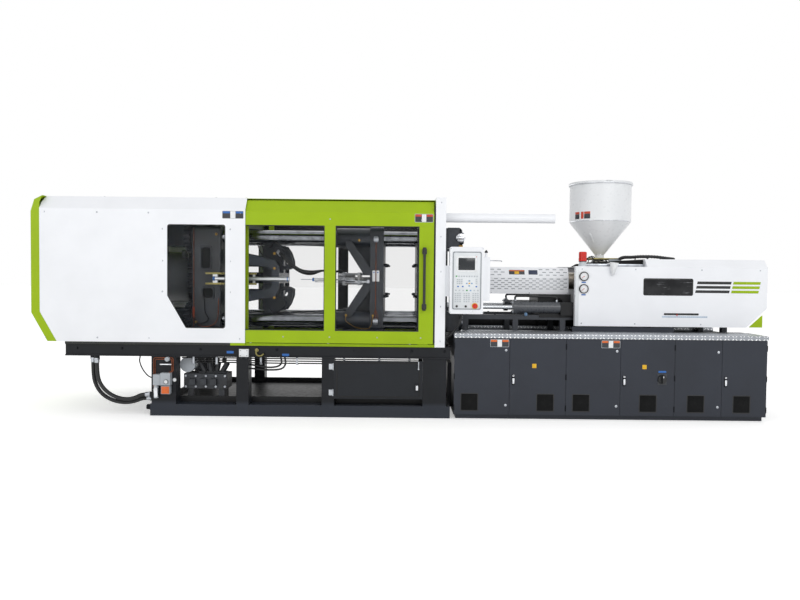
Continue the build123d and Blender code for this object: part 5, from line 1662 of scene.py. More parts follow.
@dataclass
class Base(Part):
    """Boxes, lines, fittings and joints on the floor frame of the clamp."""

    def frame(self) -> None:
        """Add feet, joint covers and screws of the floor frame."""
        feet = Shape()
        for x in (-2.31, -1.54, -0.7, 0.35):
            for y in (-0.755, 0.755):
                feet.box((x - 0.075, y - 0.055, 0.1151), (x + 0.075, y + 0.055, 0.127), 0.002)
                feet.hexagon((x, y, 0.127), Axis.UP, 0.02, 0.016)
                feet.rod((x, y, 0.127), (x, y, 0.158), 0.011)
        feet.place("anchor_plates", "black_steel")
        seams = Shape()
        for x in (-2.19, -1.6, -1.478, -0.76, -0.64, 0.23):
            seams.box((x - 0.0012, -0.8306, 0.004), (x + 0.0012, -0.8301, 0.112), 0.0002)
        seams.place("skid_seams", "seal_rubber", "base", "black_plastic")
        (Shape().lathe([(0, 0), (0.03, 0), (0.034, 0.004), (0.034, 0.018), (0.026, 0.021), (0.026, 0.05),
                        (0.021, 0.055), (0, 0.055)], (-2.4442, -0.76, 0.075), Axis.LEFT, 40)
         .place("skid_drain_stub", "black_steel"))
        for side, place in SIDES:
            unit = Shape().screw((0, 0, 0), AWAY[side], 0.012, 0.01)
            spots = [(x, side * 0.8301, 0.66) for x in (-3.16, -2.72, -1.95, -1.2, -0.45, 0.12, 0.44)]
            repeat(f"beam_screws_{place}", unit, spots, "black_steel", turn=3.1)

    def boxes(self) -> None:
        """Add the junction box, lever, tags and the hinge and latch of the drop door."""
        (Shape().box((-1.566, -0.862, 0.59), (-1.473, BEAM_FACE, 0.666), 0.004)
         .box((-1.56, -0.866, 0.596), (-1.479, -0.8622, 0.66), 0.002)
         .place("junction_box", "white_plastic"))
        bolts = Shape()
        for x in (-1.552, -1.487):
            for z in (0.604, 0.652):
                bolts.screw((x, -0.866, z), Axis.FRONT, 0.004, 0.002)
        for x in (-1.545, -1.495):
            bolts.rod((x, -0.848, 0.5905), (x, -0.848, 0.574), 0.009, 0.001, 6)
        bolts.place("junction_box_glands", "dark_plastic")
        (Shape().rod((-1.395, BEAM_FACE, 0.655), (-1.395, -0.846, 0.655), 0.018, 0.002)
         .pipe([(-1.395, -0.851, 0.662), (-1.4, -0.855, 0.63), (-1.385, -0.858, 0.606),
                (-1.35, -0.857, 0.603), (-1.325, -0.856, 0.622)], 0.0085, 14)
         .place("stop_lever", "olive_zinc"))
        tags = Shape()
        for x, z in ((-1.658, 0.632), (-1.115, 0.61)):
            tags.plate(rectangle(x - 0.034, x + 0.034, z - 0.012, z + 0.012), (-0.8315, BEAM_FACE),
                       corner=0.003, bevel=0.0003)
        tags.place("beam_tags", "blue_plastic")
        hinge = Shape()
        for z in (0.245, 0.5):
            hinge.rod((-0.6485, -0.8365, z - 0.034), (-0.6485, -0.8365, z + 0.034), 0.0055, 0.001)
            hinge.box((-0.69, -0.8335, z - 0.028), (-0.6485, BEAM_FACE, z + 0.028), 0.0008)
        hinge.place("drop_door_hinge_pins", "zinc")
        (Shape().box((0.163, -0.8555, 0.277), (0.185, -0.8522, 0.323), 0.0015)
         .rod((0.174, -0.852, 0.3), (0.174, -0.859, 0.3), 0.008)
         .place("drop_door_latch_lever", "chrome", "drop_door"))
        (Shape().plate(rectangle(-0.62, 0.205, 0.197, 0.548), (-0.8315, BEAM_FACE), corner=0.012,
                       bevel=0.0005, holes=[rectangle(-0.605, 0.19, 0.212, 0.533)])
         .place("drop_door_seam", "black_paint", "drop_door", "dark_paint"))
        (Shape().rod((0.188, -0.846, 0.486), (0.188, -0.846, 0.556), 0.006)
         .box((0.18, -0.852, 0.478), (0.196, BEAM_FACE, 0.488), 0.001)
         .place("drop_door_rod", "zinc", "drop_door"))

    def lines(self) -> None:
        """Add the pipes and cables that run through the floor frame."""
        runs = Shape()
        for drop, y in ((0.0, -0.7), (0.025, -0.68), (0.05, -0.66)):
            runs.pipe([(-2.17, y, 0.56 - drop), (-1.72, y, 0.56 - drop), (-1.16, y, 0.557 - drop),
                       (-0.8, y, 0.557 - drop), (0.22, y, 0.557 - drop)], 0.0065, 10, 0.02)
        runs.pipe([(-1.165, -0.81, 0.584), (-1.16, -0.8, 0.53), (-1.2, -0.79, 0.492), (-1.3, -0.79, 0.482),
                   (-1.44, -0.76, 0.498), (-1.55, -0.66, 0.5)], 0.009, 12)
        runs.pipe([(-1.125, -0.81, 0.584), (-1.122, -0.8, 0.515), (-1.17, -0.785, 0.466),
                   (-1.3, -0.78, 0.455), (-1.46, -0.74, 0.462), (-1.55, -0.66, 0.46)], 0.009, 12)
        runs.place("base_oil_lines", "black_rubber")
        clips = Shape()
        for x in (-2.05, -1.82, -1.38, -1.02, -0.55, -0.2, 0.1):
            clips.box((x - 0.01, -0.715, 0.5795), (x + 0.01, -0.65, 0.5849), 0.001)
            clips.box((x - 0.01, -0.716, 0.497), (x + 0.01, -0.712, 0.5845), 0.001)
            clips.box((x - 0.008, -0.716, 0.497), (x + 0.008, -0.645, 0.5), 0.001)
        clips.place("base_line_clips", "zinc")

    def lubrication(self) -> None:
        """Add the gauges, cup, lamp, lines and handle of the lubrication unit."""
        metal = Shape().rod((-2.335, -0.866, 0.51), (-2.222, -0.866, 0.51), 0.0075, 0.002)
        for x in (-2.325, -2.232):
            metal.rod((x, -0.831, 0.51), (x, -0.866, 0.51), 0.005)
        metal.lathe([(0.012, 0), (0.022, 0.01), (0.024, 0.085), (0.018, 0.112), (0.018, 0.122), (0, 0.122)],
                    (-2.374, -0.862, 0.181), Axis.UP, 40)
        metal.place("lube_handle_and_cup", "chrome")
        (Shape().pipe([(-2.405, -0.8355, 0.28), (-2.405, -0.8355, 0.572), (-2.215, -0.8355, 0.572),
                       (-2.215, -0.8355, 0.44), (-2.235, -0.855, 0.4285)], 0.004, 10, 0.02)
         .pipe([(-2.391, -0.8355, 0.28), (-2.391, -0.8355, 0.557), (-2.228, -0.8355, 0.557),
                (-2.228, -0.8355, 0.44), (-2.252, -0.855, 0.4285)], 0.004, 10, 0.02)
         .place("lube_copper_lines", "copper"))
        dial = Shape()
        rim = Shape()
        for x, z, y in ((-2.265, 0.345, -0.8962), (-2.2, 0.356, -0.8305)):
            rim.lathe([(0, 0), (0.021, 0), (0.021, 0.012), (0.0185, 0.014), (0.0185, 0.011), (0, 0.011)],
                      (x, y, z), Axis.FRONT, 40)
            dial.rod((x, y - 0.0105, z), (x, y - 0.0115, z), 0.0182, 0.0003)
        rim.place("lube_gauge_rims", "black_plastic")
        dial.place("lube_gauge_dials", "white_plastic")
        (Shape().rod((-2.362, BEAM_FACE, 0.388), (-2.362, -0.8425, 0.388), 0.007, 0.002)
         .place("lube_lamp", "green_plastic"))
        (Shape().box((-2.314, -0.892, 0.226), (-2.238, -0.8865, 0.296), 0.003)
         .place("lube_tank_label", "orange_label"))
        (Shape().pipe([(-2.55, -0.8, 0.584), (-2.548, -0.82, 0.53), (-2.51, -0.84, 0.455),
                       (-2.455, -0.85, 0.395), (-2.4, -0.853, 0.372), (-2.3965, -0.852, 0.37)], 0.006, 12)
         .place("lube_feed_hose", "black_rubber"))
        caps = Shape()
        for x in (-1.98, -1.905, -1.835, -1.765):
            caps.box((x - 0.018, -0.649, 0.512), (x + 0.018, -0.591, 0.545), 0.003)
            caps.pipe([(x, -0.62, 0.545), (x - 0.01, -0.6, 0.562), (x - 0.06, -0.56, 0.566)], 0.005, 10)
        caps.place("solenoid_plugs", "black_plastic")
        bolts = Shape()
        for x in (-2.13, -2.03, -1.93, -1.83, -1.74):
            for z in (0.272, 0.378):
                bolts.screw((x, -0.7001, z), Axis.FRONT, 0.011, 0.009)
        bolts.place("manifold_screws", "zinc")

    def build(self) -> None:
        """Add all pieces."""
        self.frame()
        self.boxes()
        self.lines()
        self.lubrication()


@dataclass
class ControlPanel(Part):
    """Screen, keys, knobs and trim of the control panel, its cable, and the rod and knob of the purge guard.
    """

    left: float = 0.508
    right: float = 0.776
    face: float = -0.934
    housing: float = -0.9301

    def build(self) -> None:
        """Add all pieces."""
        outline = rectangle(self.left, self.right, 1.082, 1.63)
        (Shape().plate(inset(outline, -0.004), (self.face - 0.003, self.housing), corner=0.014, bevel=0.001,
                       holes=[inset(outline, 0.004)]).place("panel_frame", "grey_plastic"))
        (Shape().plate(inset(outline, 0.005), (self.face - 0.0008, self.face), corner=0.01, bevel=0.0003,
                       holes=[rectangle(0.556, 0.72, 1.455, 1.576)]).place("panel_foil", "fascia_paint"))
        (Shape().plate(rectangle(0.538, 0.738, 1.438, 1.594), (self.face - 0.0016, self.face - 0.0008),
                       corner=0.005, bevel=0.0003, holes=[rectangle(0.558, 0.718, 1.457, 1.574)])
         .place("panel_screen_bezel", "white_plastic"))
        (Shape().box((0.5542, self.face + 0.0012, 1.4532), (0.7218, self.face + 0.0035, 1.5778), 0.0006)
         .place("panel_screen", "screen_light"))
        z0 = self.face - 0.0008
        top = [0.541 + 0.0248 * n for n in range(9)]
        low = [0.536 + 0.0355 * n for n in range(7)]
        rows = [1.366 - 0.0185 * row for row in range(3)]
        keys = {
            "grey": ("key_plastic", [(x, 1.398) for x in top[1:]]
                     + [(0.551 + 0.0205 * col, z) for col in range(3) for z in rows]
                     + [(0.733, z) for z in rows] + [(x, 1.262) for x in low[:3] + low[5:]]
                     + [(left + 0.0225 * col, 1.232 - 0.0193 * row) for left in (0.533, 0.618, 0.704)
                        for col in range(3) for row in range(5)]),
            "blue": ("blue_plastic", [(0.557, 1.299), (0.602, 1.299), (0.733, 1.299)]),
            "green": ("green_plastic", [(top[0], 1.398), (low[3], 1.262)]),
            "yellow": ("yellow_plastic", [(0.665, 1.33)]),
            "dark": ("pale_blue_plastic", [(0.689, 1.33), (0.641, 1.33), (0.665, 1.354), (0.665, 1.306),
                                           (low[4], 1.262)]),
        }
        for name, (finish, spots) in keys.items():
            key = Shape().plate(rectangle(-0.0078, 0.0078, -0.0062, 0.0062), (-0.0022, 0.0), corner=0.0025,
                                bevel=0.0005)
            places = [(x, z0, z) for x, z in spots]
            repeat(f"panel_keys_{name}", key, places, finish, "base", "black_plastic")
        knobs = Shape()
        for x in (0.546, 0.633):
            knobs.lathe([(0.011, 0), (0.011, 0.004), (0.008, 0.006), (0.007, 0.015), (0, 0.015)],
                        (x, z0, 1.108), Axis.FRONT, 32)
            knobs.box((x - 0.0018, z0 - 0.019, 1.099), (x + 0.0018, z0 - 0.0145, 1.117), 0.0006)
        knobs.place("panel_knobs", "black_plastic")
        (Shape().lathe([(0.0165, 0), (0.03, 0), (0.03, 0.0015), (0.0165, 0.0015), (0.0165, 0)],
                       (0.721, self.face - 0.001, 1.112), Axis.FRONT, 48)
         .place("stop_button_ring", "yellow_plastic"))
        (Shape().rod((0.731, self.face - 0.0016, 1.585), (0.731, self.face - 0.003, 1.585), 0.0042, 0.0005)
         .place("panel_lamp", "red_plastic"))
        screws = Shape()
        for x in (0.486, 0.795):
            for z in (1.052, 1.663):
                screws.screw((x, self.housing, z), Axis.FRONT, 0.0045, 0.002)
        (Shape().lathe([(0.01, 0), (0.01, 0.003), (0.007, 0.005), (0, 0.005)], (0.69, self.housing, 1.058),
                       Axis.FRONT, 32)
         .box((0.6885, -0.943, 1.05), (0.6915, -0.935, 1.066), 0.0005).place("panel_lock", "chrome"))
        screws.place("panel_screws", "zinc")
        vents = Shape().plate(rectangle(-0.045, 0.045, -0.003, 0.003), (0.0, 0.0012), corner=0.0028,
                              bevel=0.0002)
        spots = [(0.64, -0.7799, low + 0.016 * n) for low in (1.2, 1.42) for n in range(8)]
        repeat("panel_rear_vents", vents, spots, "dark_plastic")
        (Shape().pipe([(0.6, -0.85, 1.0349), (0.598, -0.85, 0.985), (0.575, -0.83, 0.92), (0.54, -0.8, 0.87),
                       (0.5, -0.8, 0.82), (0.46, -0.79, 0.8)], 0.011, 14)
         .rod((0.6, -0.85, 1.035), (0.6, -0.85, 1.01), 0.018, 0.002, 6)
         .rod((0.441, -0.79, 0.797), (0.47, -0.79, 0.803), 0.017, 0.002, 6)
         .place("panel_cable", "black_rubber"))
        (Shape().pipe([(0.868, -0.8735, 1.552), (0.9, -0.87, 1.552), (0.985, -0.8, 1.552),
                       (0.99, -0.8, 1.545)], 0.0045, 12).place("purge_guard_rod", "zinc", "purge_guard"))
        (Shape().lathe([(0.0135, 0), (0.016, 0.004), (0.016, 0.012), (0.004, 0.028), (0, 0.028)],
                       (0.8333, -0.855, 1.6262), Axis.UP, 32)
         .place("purge_guard_knob", "black_plastic", "purge_guard"))


@dataclass
class Injection(Part):
    """Slots, gauges, window, lines and trim of the injection unit."""

    side: float = 0.45

    def slot_places(self, rows: int, height: float, pitch: float, slope: float = 0.0) -> list[Point]:
        """Give the places of the punched slots on the front of the barrel cover.

        Args:
            rows: number of rows, of which every second one is shifted by half a slot.
            height: height of the first row.
            pitch: height between rows.
            slope: how far a row leans back for its height above the cover's edge.

        Returns:
            The places.
        """
        places = []
        for row in range(rows):
            z = height + pitch * row
            y = slope * (z - BARREL_COVER_EDGE) - BARREL_COVER_HALF
            xs = [0.985 + 0.074 * n + (0.037 if row % 2 else 0.0) for n in range(11)]
            places += [(x, y, z) for x in xs if x < 1.775]
        return places

    def barrel_cover(self) -> None:
        """Add the punched slots, drawn as grey insets of painted shade, and the screws and plates of the
        barrel cover.
        """
        slope = 0.045 / 0.11
        lean = math.atan2(0.045, 0.11)
        slot = rectangle(-0.0205, 0.0205, -0.0042, 0.0042)
        # grey insets: painted shade standing in for the dark inside of the punched slot openings
        for side, place in SIDES:
            flat = Shape().plate(slot, (side * 0.0006, -side * 0.0004), corner=0.004, bevel=0.0002)
            spots = [(x, -side * y, z) for x, y, z in self.slot_places(6, 1.2705, 0.0213)]
            repeat(f"barrel_cover_slots_{place}", flat, spots, "grey_plastic", "carriage")
        for side, place in SIDES:
            slant = Shape().plate(slot, (side * 0.0006, -side * 0.0004), corner=0.004, bevel=0.0002)
            slant.mesh.transform(Matrix.Rotation(side * lean, 4, "X"))
            spots = [(x, -side * y, z) for x, y, z in self.slot_places(3, 1.418, 0.029, slope)
                     if side > 0 or not 1.13 < x < 1.5]
            repeat(f"barrel_cover_bevel_slots_{place}", slant, spots, "grey_plastic", "carriage")
        for name, left, right, low, high, out, finish in (
                ("plate", 1.163, 1.33, 1.42, 1.472, 0.0006, "dark_plastic"),
                ("plate_band", 1.166, 1.327, 1.458, 1.469, 0.0014, "orange_label"),
                ("plate_middle", 1.222, 1.27, 1.425, 1.455, 0.0014, "yellow_plastic"),
                ("blue_plate", 1.372, 1.468, 1.42, 1.472, 0.0006, "navy_label")):
            outline = rectangle(left, right, low - 1.447, high - 1.447)
            part = Shape().plate(outline, (-out, 0.0003), corner=0.003, bevel=0.0002)
            shift = Matrix.Translation((0, 0.057 * slope - BARREL_COVER_HALF, 1.447))
            part.mesh.transform(shift @ Matrix.Rotation(-lean, 4, "X"))
            part.place(f"barrel_cover_{name}", finish, "carriage", "black_plastic")
        screws = Shape()
        for x in (0.975, 1.38, 1.785):
            for side, _ in SIDES:
                screws.screw((x, side * BARREL_COVER_HALF, 1.228), AWAY[side], 0.006, 0.003)
        screws.place("barrel_cover_screws", "zinc", "carriage")

    def barrel(self) -> None:
        """Add the terminals and thermocouples of the heater bands."""
        boxes = Shape()
        wires = Shape()
        for n in range(9):
            x = 0.79 + 0.1 * n
            if x > 0.95:
                boxes.box((x - 0.014, -0.018, CLAMP_HEIGHT + 0.1055),
                          (x + 0.014, 0.018, CLAMP_HEIGHT + 0.128), 0.002)
                route = [(x + 0.014, 0, 1.474), (x + 0.04, 0.02, 1.485), (x + 0.09, 0.05, 1.488)]
                wires.pipe(route, 0.0032, 8)
        boxes.place("heater_terminals", "white_plastic", "carriage")
        wires.place("heater_wires", "grey_plastic", "carriage", "hose_rubber")
        clamps = Shape()
        for n in range(2):
            x = 0.79 + 0.1 * n
            for turn in (-40, 140):
                a = math.radians(turn)
                y, z = 0.113 * math.cos(a), CLAMP_HEIGHT + 0.113 * math.sin(a)
                clamps.box((x - 0.02, y - 0.008, z - 0.008), (x + 0.02, y + 0.008, z + 0.008), 0.002)
                clamps.rod((x - 0.012, y, z - 0.014), (x - 0.012, y, z + 0.014), 0.004)
        clamps.place("heater_clamps", "zinc", "carriage")

    def cover(self) -> None:
        """Add the dials, window, scale, trim and corner plate of the injection cover."""
        face = -self.side
        middle = 1.888
        # a pale grey strip at the cover's left edge: painted shade standing in for its end face seen at an
        # angle
        (Shape().box((1.8015, face - 0.0025, 0.9), (1.8385, face - 0.0002, 1.508), 0.001)
         .place("cover_edge_strip", "fascia_paint", "carriage"))
        for side, place in SIDES:
            rims = Shape()
            dials = Shape()
            tags = Shape()
            hands = Shape()
            y = side * self.side
            for z in (1.409, 1.281):
                rims.lathe([(0.04, 0), (0.048, 0), (0.048, 0.014), (0.044, 0.018), (0.04, 0.018), (0.04, 0)],
                           (middle, y + side * 0.0002, z), AWAY[side], 56)
                dials.rod((middle, y + side * 0.0002, z), (middle, y + side * 0.011, z), 0.0403, 0.0004, 56)
                for turn in range(0, 271, 30):
                    a = math.radians(225 - turn)
                    cx, cz = middle + 0.033 * math.cos(a), z + 0.033 * math.sin(a)
                    hands.box((cx - 0.0012, y + side * 0.011, cz - 0.0012),
                              (cx + 0.0012, y + side * 0.0116, cz + 0.0012), 0.0001)
                tip = (middle - 0.024, y + side * 0.0125, z - 0.019)
                hands.pipe([(middle, y + side * 0.0125, z), tip], 0.0014, 6)
                hands.rod((middle, y + side * 0.011, z), (middle, y + side * 0.0145, z), 0.0045)
                tags.plate(rectangle(1.866, 1.91, z - 0.068, z - 0.055), (y, y + side * 0.001), corner=0.002,
                           bevel=0.0002)
            rims.place(f"gauge_rims_{place}", "black_plastic", "carriage")
            dials.place(f"gauge_dials_{place}", "white_plastic", "carriage")
            hands.place(f"gauge_hands_{place}", "red_plastic", "carriage")
            tags.place(f"gauge_tags_{place}", "blue_plastic", "carriage")
        opening = rectangle(2.509, 3.007, 1.226, 1.389)
        (Shape().plate(opening, (face - 0.0025, face - 0.0002), corner=0.012, bevel=0.0008)
         .place("cover_window", "smoked_window", "carriage"))
        (Shape().plate(inset(opening, -0.007), (face - 0.0018, face - 0.0001), corner=0.018, bevel=0.0005,
                       holes=[opening]).place("cover_window_trim", "seal_rubber", "carriage"))
        (Shape().plate(rectangle(2.718, 3.078, 1.018, 1.039), (face - 0.0012, face - 0.0002), corner=0.01,
                       bevel=0.0003).place("stroke_slot", "dark_glass", "carriage"))
        (Shape().plate(rectangle(2.7, 3.168, 0.993, 1.01), (face - 0.0012, face - 0.0002), corner=0.002,
                       bevel=0.0002).place("stroke_scale", "scale_label", "carriage"))
        marks = Shape().box((-0.0007, -0.0005, -0.0045), (0.0007, 0.0001, 0.0045), 0.0001)
        repeat("stroke_marks", marks, [(2.728 + 0.0214 * n, face - 0.0013, 1.0015) for n in range(21)],
               "black_plastic", "carriage")
        (Shape().plate([(2.848, 1.01), (2.858, 1.01), (2.853, 1.037)], (face - 0.006, face - 0.0012),
                       bevel=0.0004).place("stroke_pointer", "red_plastic", "carriage"))
        for side, place in SIDES:
            (Shape().plate([(3.594, 0.899), (3.735, 0.899), (3.735, 1.0305)],
                           (side * self.side, side * (self.side - 0.004)), bevel=0.001, corner=0.004)
             .place(f"cover_corner_plate_{place}", "green_paint", "carriage"))
        for name, left, right, finish in (("black", 3.035, 3.385, "black_plastic"),
                                          ("green", 3.405, 3.685, "green_paint")):
            bars = Shape()
            for row in range(3):
                low = 1.25 + 0.045 * row
                lean = 0.2 * (low - 1.25)
                outline = [(left + lean, low), (right + lean, low), (right + lean + 0.006, low + 0.028),
                           (left + lean + 0.006, low + 0.028)]
                bars.plate(outline, (face - 0.001, face - 0.0001), corner=0.003, bevel=0.0002)
            bars.place(f"cover_bars_{name}", finish, "carriage")
        self.screws_on_both(("cover_screws_front", "cover_screws_rear"),
                            [(0, 0), (0.0075, 0), (0.0075, 0.0012), (0.0052, 0.003), (0, 0.0032)],
                            [(x, face - 0.0001, z) for x in (1.87, 2.42, 3.1, 3.7) for z in (0.925, 1.485)
                             if x < 3.6 or z > 1], "carriage")
        handles = Shape()
        for side in (-1, 1):
            handles.pipe([(2.62, side * 0.2, 1.5942), (2.62, side * 0.2, 1.625), (2.76, side * 0.2, 1.625),
                          (2.76, side * 0.2, 1.5942)], 0.007, 14, 0.012)
        handles.place("cover_handles", "black_plastic", "carriage")
        vents = Shape().plate(rectangle(-0.06, 0.06, -0.004, 0.004), (-0.0004, 0.0008), across="x",
                              corner=0.0038, bevel=0.0002)
        spots = [(3.7784, y, 1.18 + 0.028 * n) for y in (-0.2, 0.2) for n in range(9)]
        repeat("cover_end_vents", vents, spots, "dark_plastic", "carriage")
        (Shape().box((1.806, -0.4425, 0.8955), (2.79, -0.405, 0.8965), 0.0003)
         .place("cover_lower_seal", "seal_rubber", "carriage"))

    def throat(self) -> None:
        """Add the lines, conduit, beam and chute round the feed housing."""
        (Shape().box((1.93, -0.372, 1.5145), (2.526, -0.34, 1.541), 0.003)
         .place("throat_beam", "zinc", "carriage"))
        conduit = Shape()
        route = [(2.305, -0.22, 1.517), (2.312, -0.22, 1.585), (2.36, -0.22, 1.612), (2.44, -0.22, 1.616),
                 (2.56, -0.22, 1.624), (2.7, -0.22, 1.622), (2.83, -0.22, 1.607), (2.9, -0.22, 1.598)]
        line = smooth_run(route, 14)
        conduit.pipe([tuple(p) for p in route], 0.0155, 18)
        for a, b in zip(line[::3], line[1::3]):
            way = (b - a).normalized() * 0.0035
            conduit.rod(tuple(a - way), tuple(a + way), 0.0185, 0.0012, 18)
        conduit.place("throat_conduit", "black_rubber", "carriage")
        shroud = Shape()
        for side, _ in SIDES:
            shroud.plate([(1.93, 1.5145), (2.533, 1.5145), (2.533, 1.588), (2.3, 1.578), (1.99, 1.548)],
                         (side * 0.333, side * 0.318), bevel=0.003)
        shroud.place("throat_shroud", "grille_black", "carriage")
        (Shape().rod((2.187, -0.486, 1.552), (2.179, -0.474, 1.428), 0.046, 0.002, 32, 0.018)
         .box((2.158, -0.485, 1.536), (2.214, -0.195, 1.551), 0.004)
         .place("throat_drain", "white_plastic", "carriage"))
        (Shape().pipe([(1.95, -0.15, 1.45), (1.975, -0.16, 1.56), (2.01, -0.17, 1.615), (2.055, -0.17, 1.6),
                       (2.06, -0.16, 1.53)], 0.006, 10)
         .pipe([(1.99, -0.1, 1.45), (2.02, -0.12, 1.585), (2.05, -0.13, 1.625), (2.085, -0.12, 1.6),
                (2.075, -0.11, 1.53)], 0.005, 10).place("throat_cables", "black_rubber", "carriage"))
        rods = Shape()
        for y, z in ((-0.26, 1.49), (-0.2, 1.475)):
            rods.rod((1.9, y, z), (2.5, y, z), 0.008)
        rods.place("throat_rods", "olive_zinc", "carriage")
        (Shape().box((1.975, -0.15, 1.59), (2.33, 0.15, 1.607), 0.003)
         .place("throat_tray", "olive_zinc", "carriage"))
        (Shape().box((2.205, -0.245, 1.56), (2.3, -0.205, 1.592), 0.003)
         .rod((2.3, -0.225, 1.576), (2.325, -0.225, 1.576), 0.016, 0.002, 6)
         .place("throat_connector", "grey_plastic", "carriage"))
        (Shape().lathe([(0.042, -0.002), (0.042, 0.022), (0.036, 0.03), (0.036, 0.046), (0.0345, 0.046),
                        (0.0345, 0.0), (0.042, -0.002)], (1.885, -0.4, 1.5132), Axis.UP, 48)
         .place("beacon_base", "key_plastic", "carriage"))
        (Shape().lathe([(0.0365, 1.5595), (0.0415, 1.5595), (0.0415, 1.5655), (0.0365, 1.5655),
                        (0.0365, 1.5595)], (1.885, -0.4, 0.0), Axis.UP, 48)
         .place("beacon_collar", "dark_plastic", "carriage"))
        ribs = Shape()
        for z in (1.574, 1.596, 1.618, 1.64):
            ribs.lathe([(0.0395, z - 0.0025), (0.0425, z - 0.001), (0.0425, z + 0.001), (0.0395, z + 0.0025),
                        (0.0395, z - 0.0025)], (1.885, -0.4, 0.0), Axis.UP, 48)
        ribs.place("beacon_ribs", "red_plastic", "carriage")

    def hopper(self) -> None:
        """Add the rolled seams, sight strip, plates, latch and slide of the hopper."""
        seams = Shape()
        for radius, z, wire in ((0.325, 1.997, 0.0045), (0.0515, 1.648, 0.004), (0.3385, 2.391, 0.004)):
            seams.pipe([(*point, z) for point in circle((HOPPER_X, 0), radius, 36)], wire, 10)
        seams.place("hopper_seams", "chrome", "carriage", "ground_steel")
        radius = 0.3245
        for number, (turn, low, high, width, finish) in enumerate((
                (-151.3, 2.018, 2.068, 11.0, "dark_plastic"), (-151.3, 2.069, 2.092, 11.0, "red_label"),
                (-139.1, 2.018, 2.092, 5.6, "red_label"), (-129.0, 2.018, 2.068, 11.9, "dark_plastic"),
                (-129.0, 2.069, 2.092, 11.9, "red_label"))):
            angles = [math.radians(turn + width * (n / 4 - 0.5)) for n in range(5)]
            outer, inner = ([(HOPPER_X + r * math.cos(a), r * math.sin(a)) for a in angles]
                            for r in (radius + 0.0012, radius - 0.0006))
            (Shape().plate(outer + inner[::-1], (low, high), across="z", bevel=0.0003)
             .place(f"hopper_plate_{number}", finish, "carriage", "black_plastic"))
        lean = math.atan2(0.275, 0.352)
        turn = math.radians(-132.5)
        middle = 0.225
        reach = 0.3255 - middle * math.sin(lean)
        outline = rectangle(-0.013, 0.013, -0.06, 0.06)
        sight = Shape().plate(outline, (-0.004, 0.004), corner=0.01, bevel=0.002)
        sight.mesh.transform(
            Matrix.Translation((HOPPER_X + reach * math.cos(turn), reach * math.sin(turn),
                                1.996 - middle * math.cos(lean)))
            @ Matrix.Rotation(turn + math.pi / 2, 4, "Z") @ Matrix.Rotation(lean, 4, "X"))
        sight.place("hopper_sight", "white_plastic", "carriage")
        slide = (Shape().box((2.094, -0.085, 1.5605), (2.234, 0.07, 1.578), 0.003)
                 .pipe([(2.13, -0.085, 1.569), (2.13, -0.118, 1.569), (2.198, -0.118, 1.569),
                        (2.198, -0.085, 1.569)], 0.0055, 12, 0.012))
        for x in (2.108, 2.22):
            for y in (-0.066, 0.052):
                slide.hexagon((x, y, 1.578), Axis.UP, 0.009, 0.008)
        slide.place("hopper_slide", "ground_steel", "carriage")
        profile = [(0.008, 0), (0.008, 0.012), (0.018, 0.016), (0.02, 0.026), (0.014, 0.034), (0, 0.035)]
        (Shape().lathe(profile, (HOPPER_X, 0.0, 2.4142), Axis.UP, 32)
         .place("hopper_lid_knob", "black_plastic", "hopper_lid"))

    def carriage(self) -> None:
        """Add the fittings, hoses and caps of the carriage cylinders and rails."""
        steel = Shape()
        for y in (-0.33, 0.33):
            for x in (1.205, 1.64):
                steel.rod((x, y, 1.136), (x, y, 1.16), 0.014, 0.002, 6)
            for dy in (-0.047, 0.047):
                for dz in (-0.047, 0.047):
                    steel.hexagon((1.1779, y + dy, 1.08 + dz), Axis.LEFT, 0.009, 0.01)
        steel.place("carriage_cylinder_fittings", "zinc", "carriage")
        hoses = Shape()
        for y in (-0.33, 0.33):
            hoses.pipe([(1.205, y, 1.158), (1.205, y, 1.185), (1.24, y, 1.196), (1.44, y * 0.97, 1.194),
                        (1.6, y * 0.96, 1.19), (1.66, y * 0.93, 1.17), (1.7, y * 0.8, 1.12)], 0.0105, 14)
            hoses.pipe([(1.64, y, 1.158), (1.64, y, 1.176), (1.665, y * 0.95, 1.176),
                        (1.71, y * 0.79, 1.14)], 0.009, 12)
        hoses.place("carriage_hoses", "black_rubber", "carriage")
        duct = Shape().box((0.66, 0.352, 0.842), (3.46, 0.43, 0.944), 0.003)
        for x in (1.02, 1.52, 2.2, 3.0):
            duct.box((x, 0.3505, 0.842), (x + 0.05, 0.432, 0.946), 0.002)
        duct.place("rail_cable_duct", "black_paint")
        steps = Shape()
        for side in (-1, 1):
            steps.box((0.56, side * 0.338, 0.7995), (3.57, side * 0.4445, 0.8395), 0.001)
        steps.place("tread_inner_steps", "tread_plate")
        (Shape().rod((1.315, -0.332, 1.018), (1.315, -0.356, 1.0), 0.016, 0.003)
         .place("carriage_plug", "pale_blue_plastic", "carriage"))
        caps = Shape()
        for y in (-0.3, 0.3):
            for x in (0.66, 3.5):
                way = -1 if x < 1 else 1
                caps.box((x, y - 0.031, 0.9495), (x + way * 0.008, y + 0.031, 1.0006), 0.002)
        caps.place("rail_end_caps", "black_plastic")
        unit = Shape().screw((0, 0, 0), Axis.UP, 0.009, 0.007)
        spots = [(0.7 + 0.15 * n, y, 1.0001) for n in range(3) for y in (-0.3, 0.3)]
        repeat("rail_screws", unit, spots, "black_steel", turn=3.1)

    def build(self) -> None:
        """Add all pieces."""
        self.barrel_cover()
        self.barrel()
        self.cover()
        self.throat()
        self.hopper()
        self.carriage()


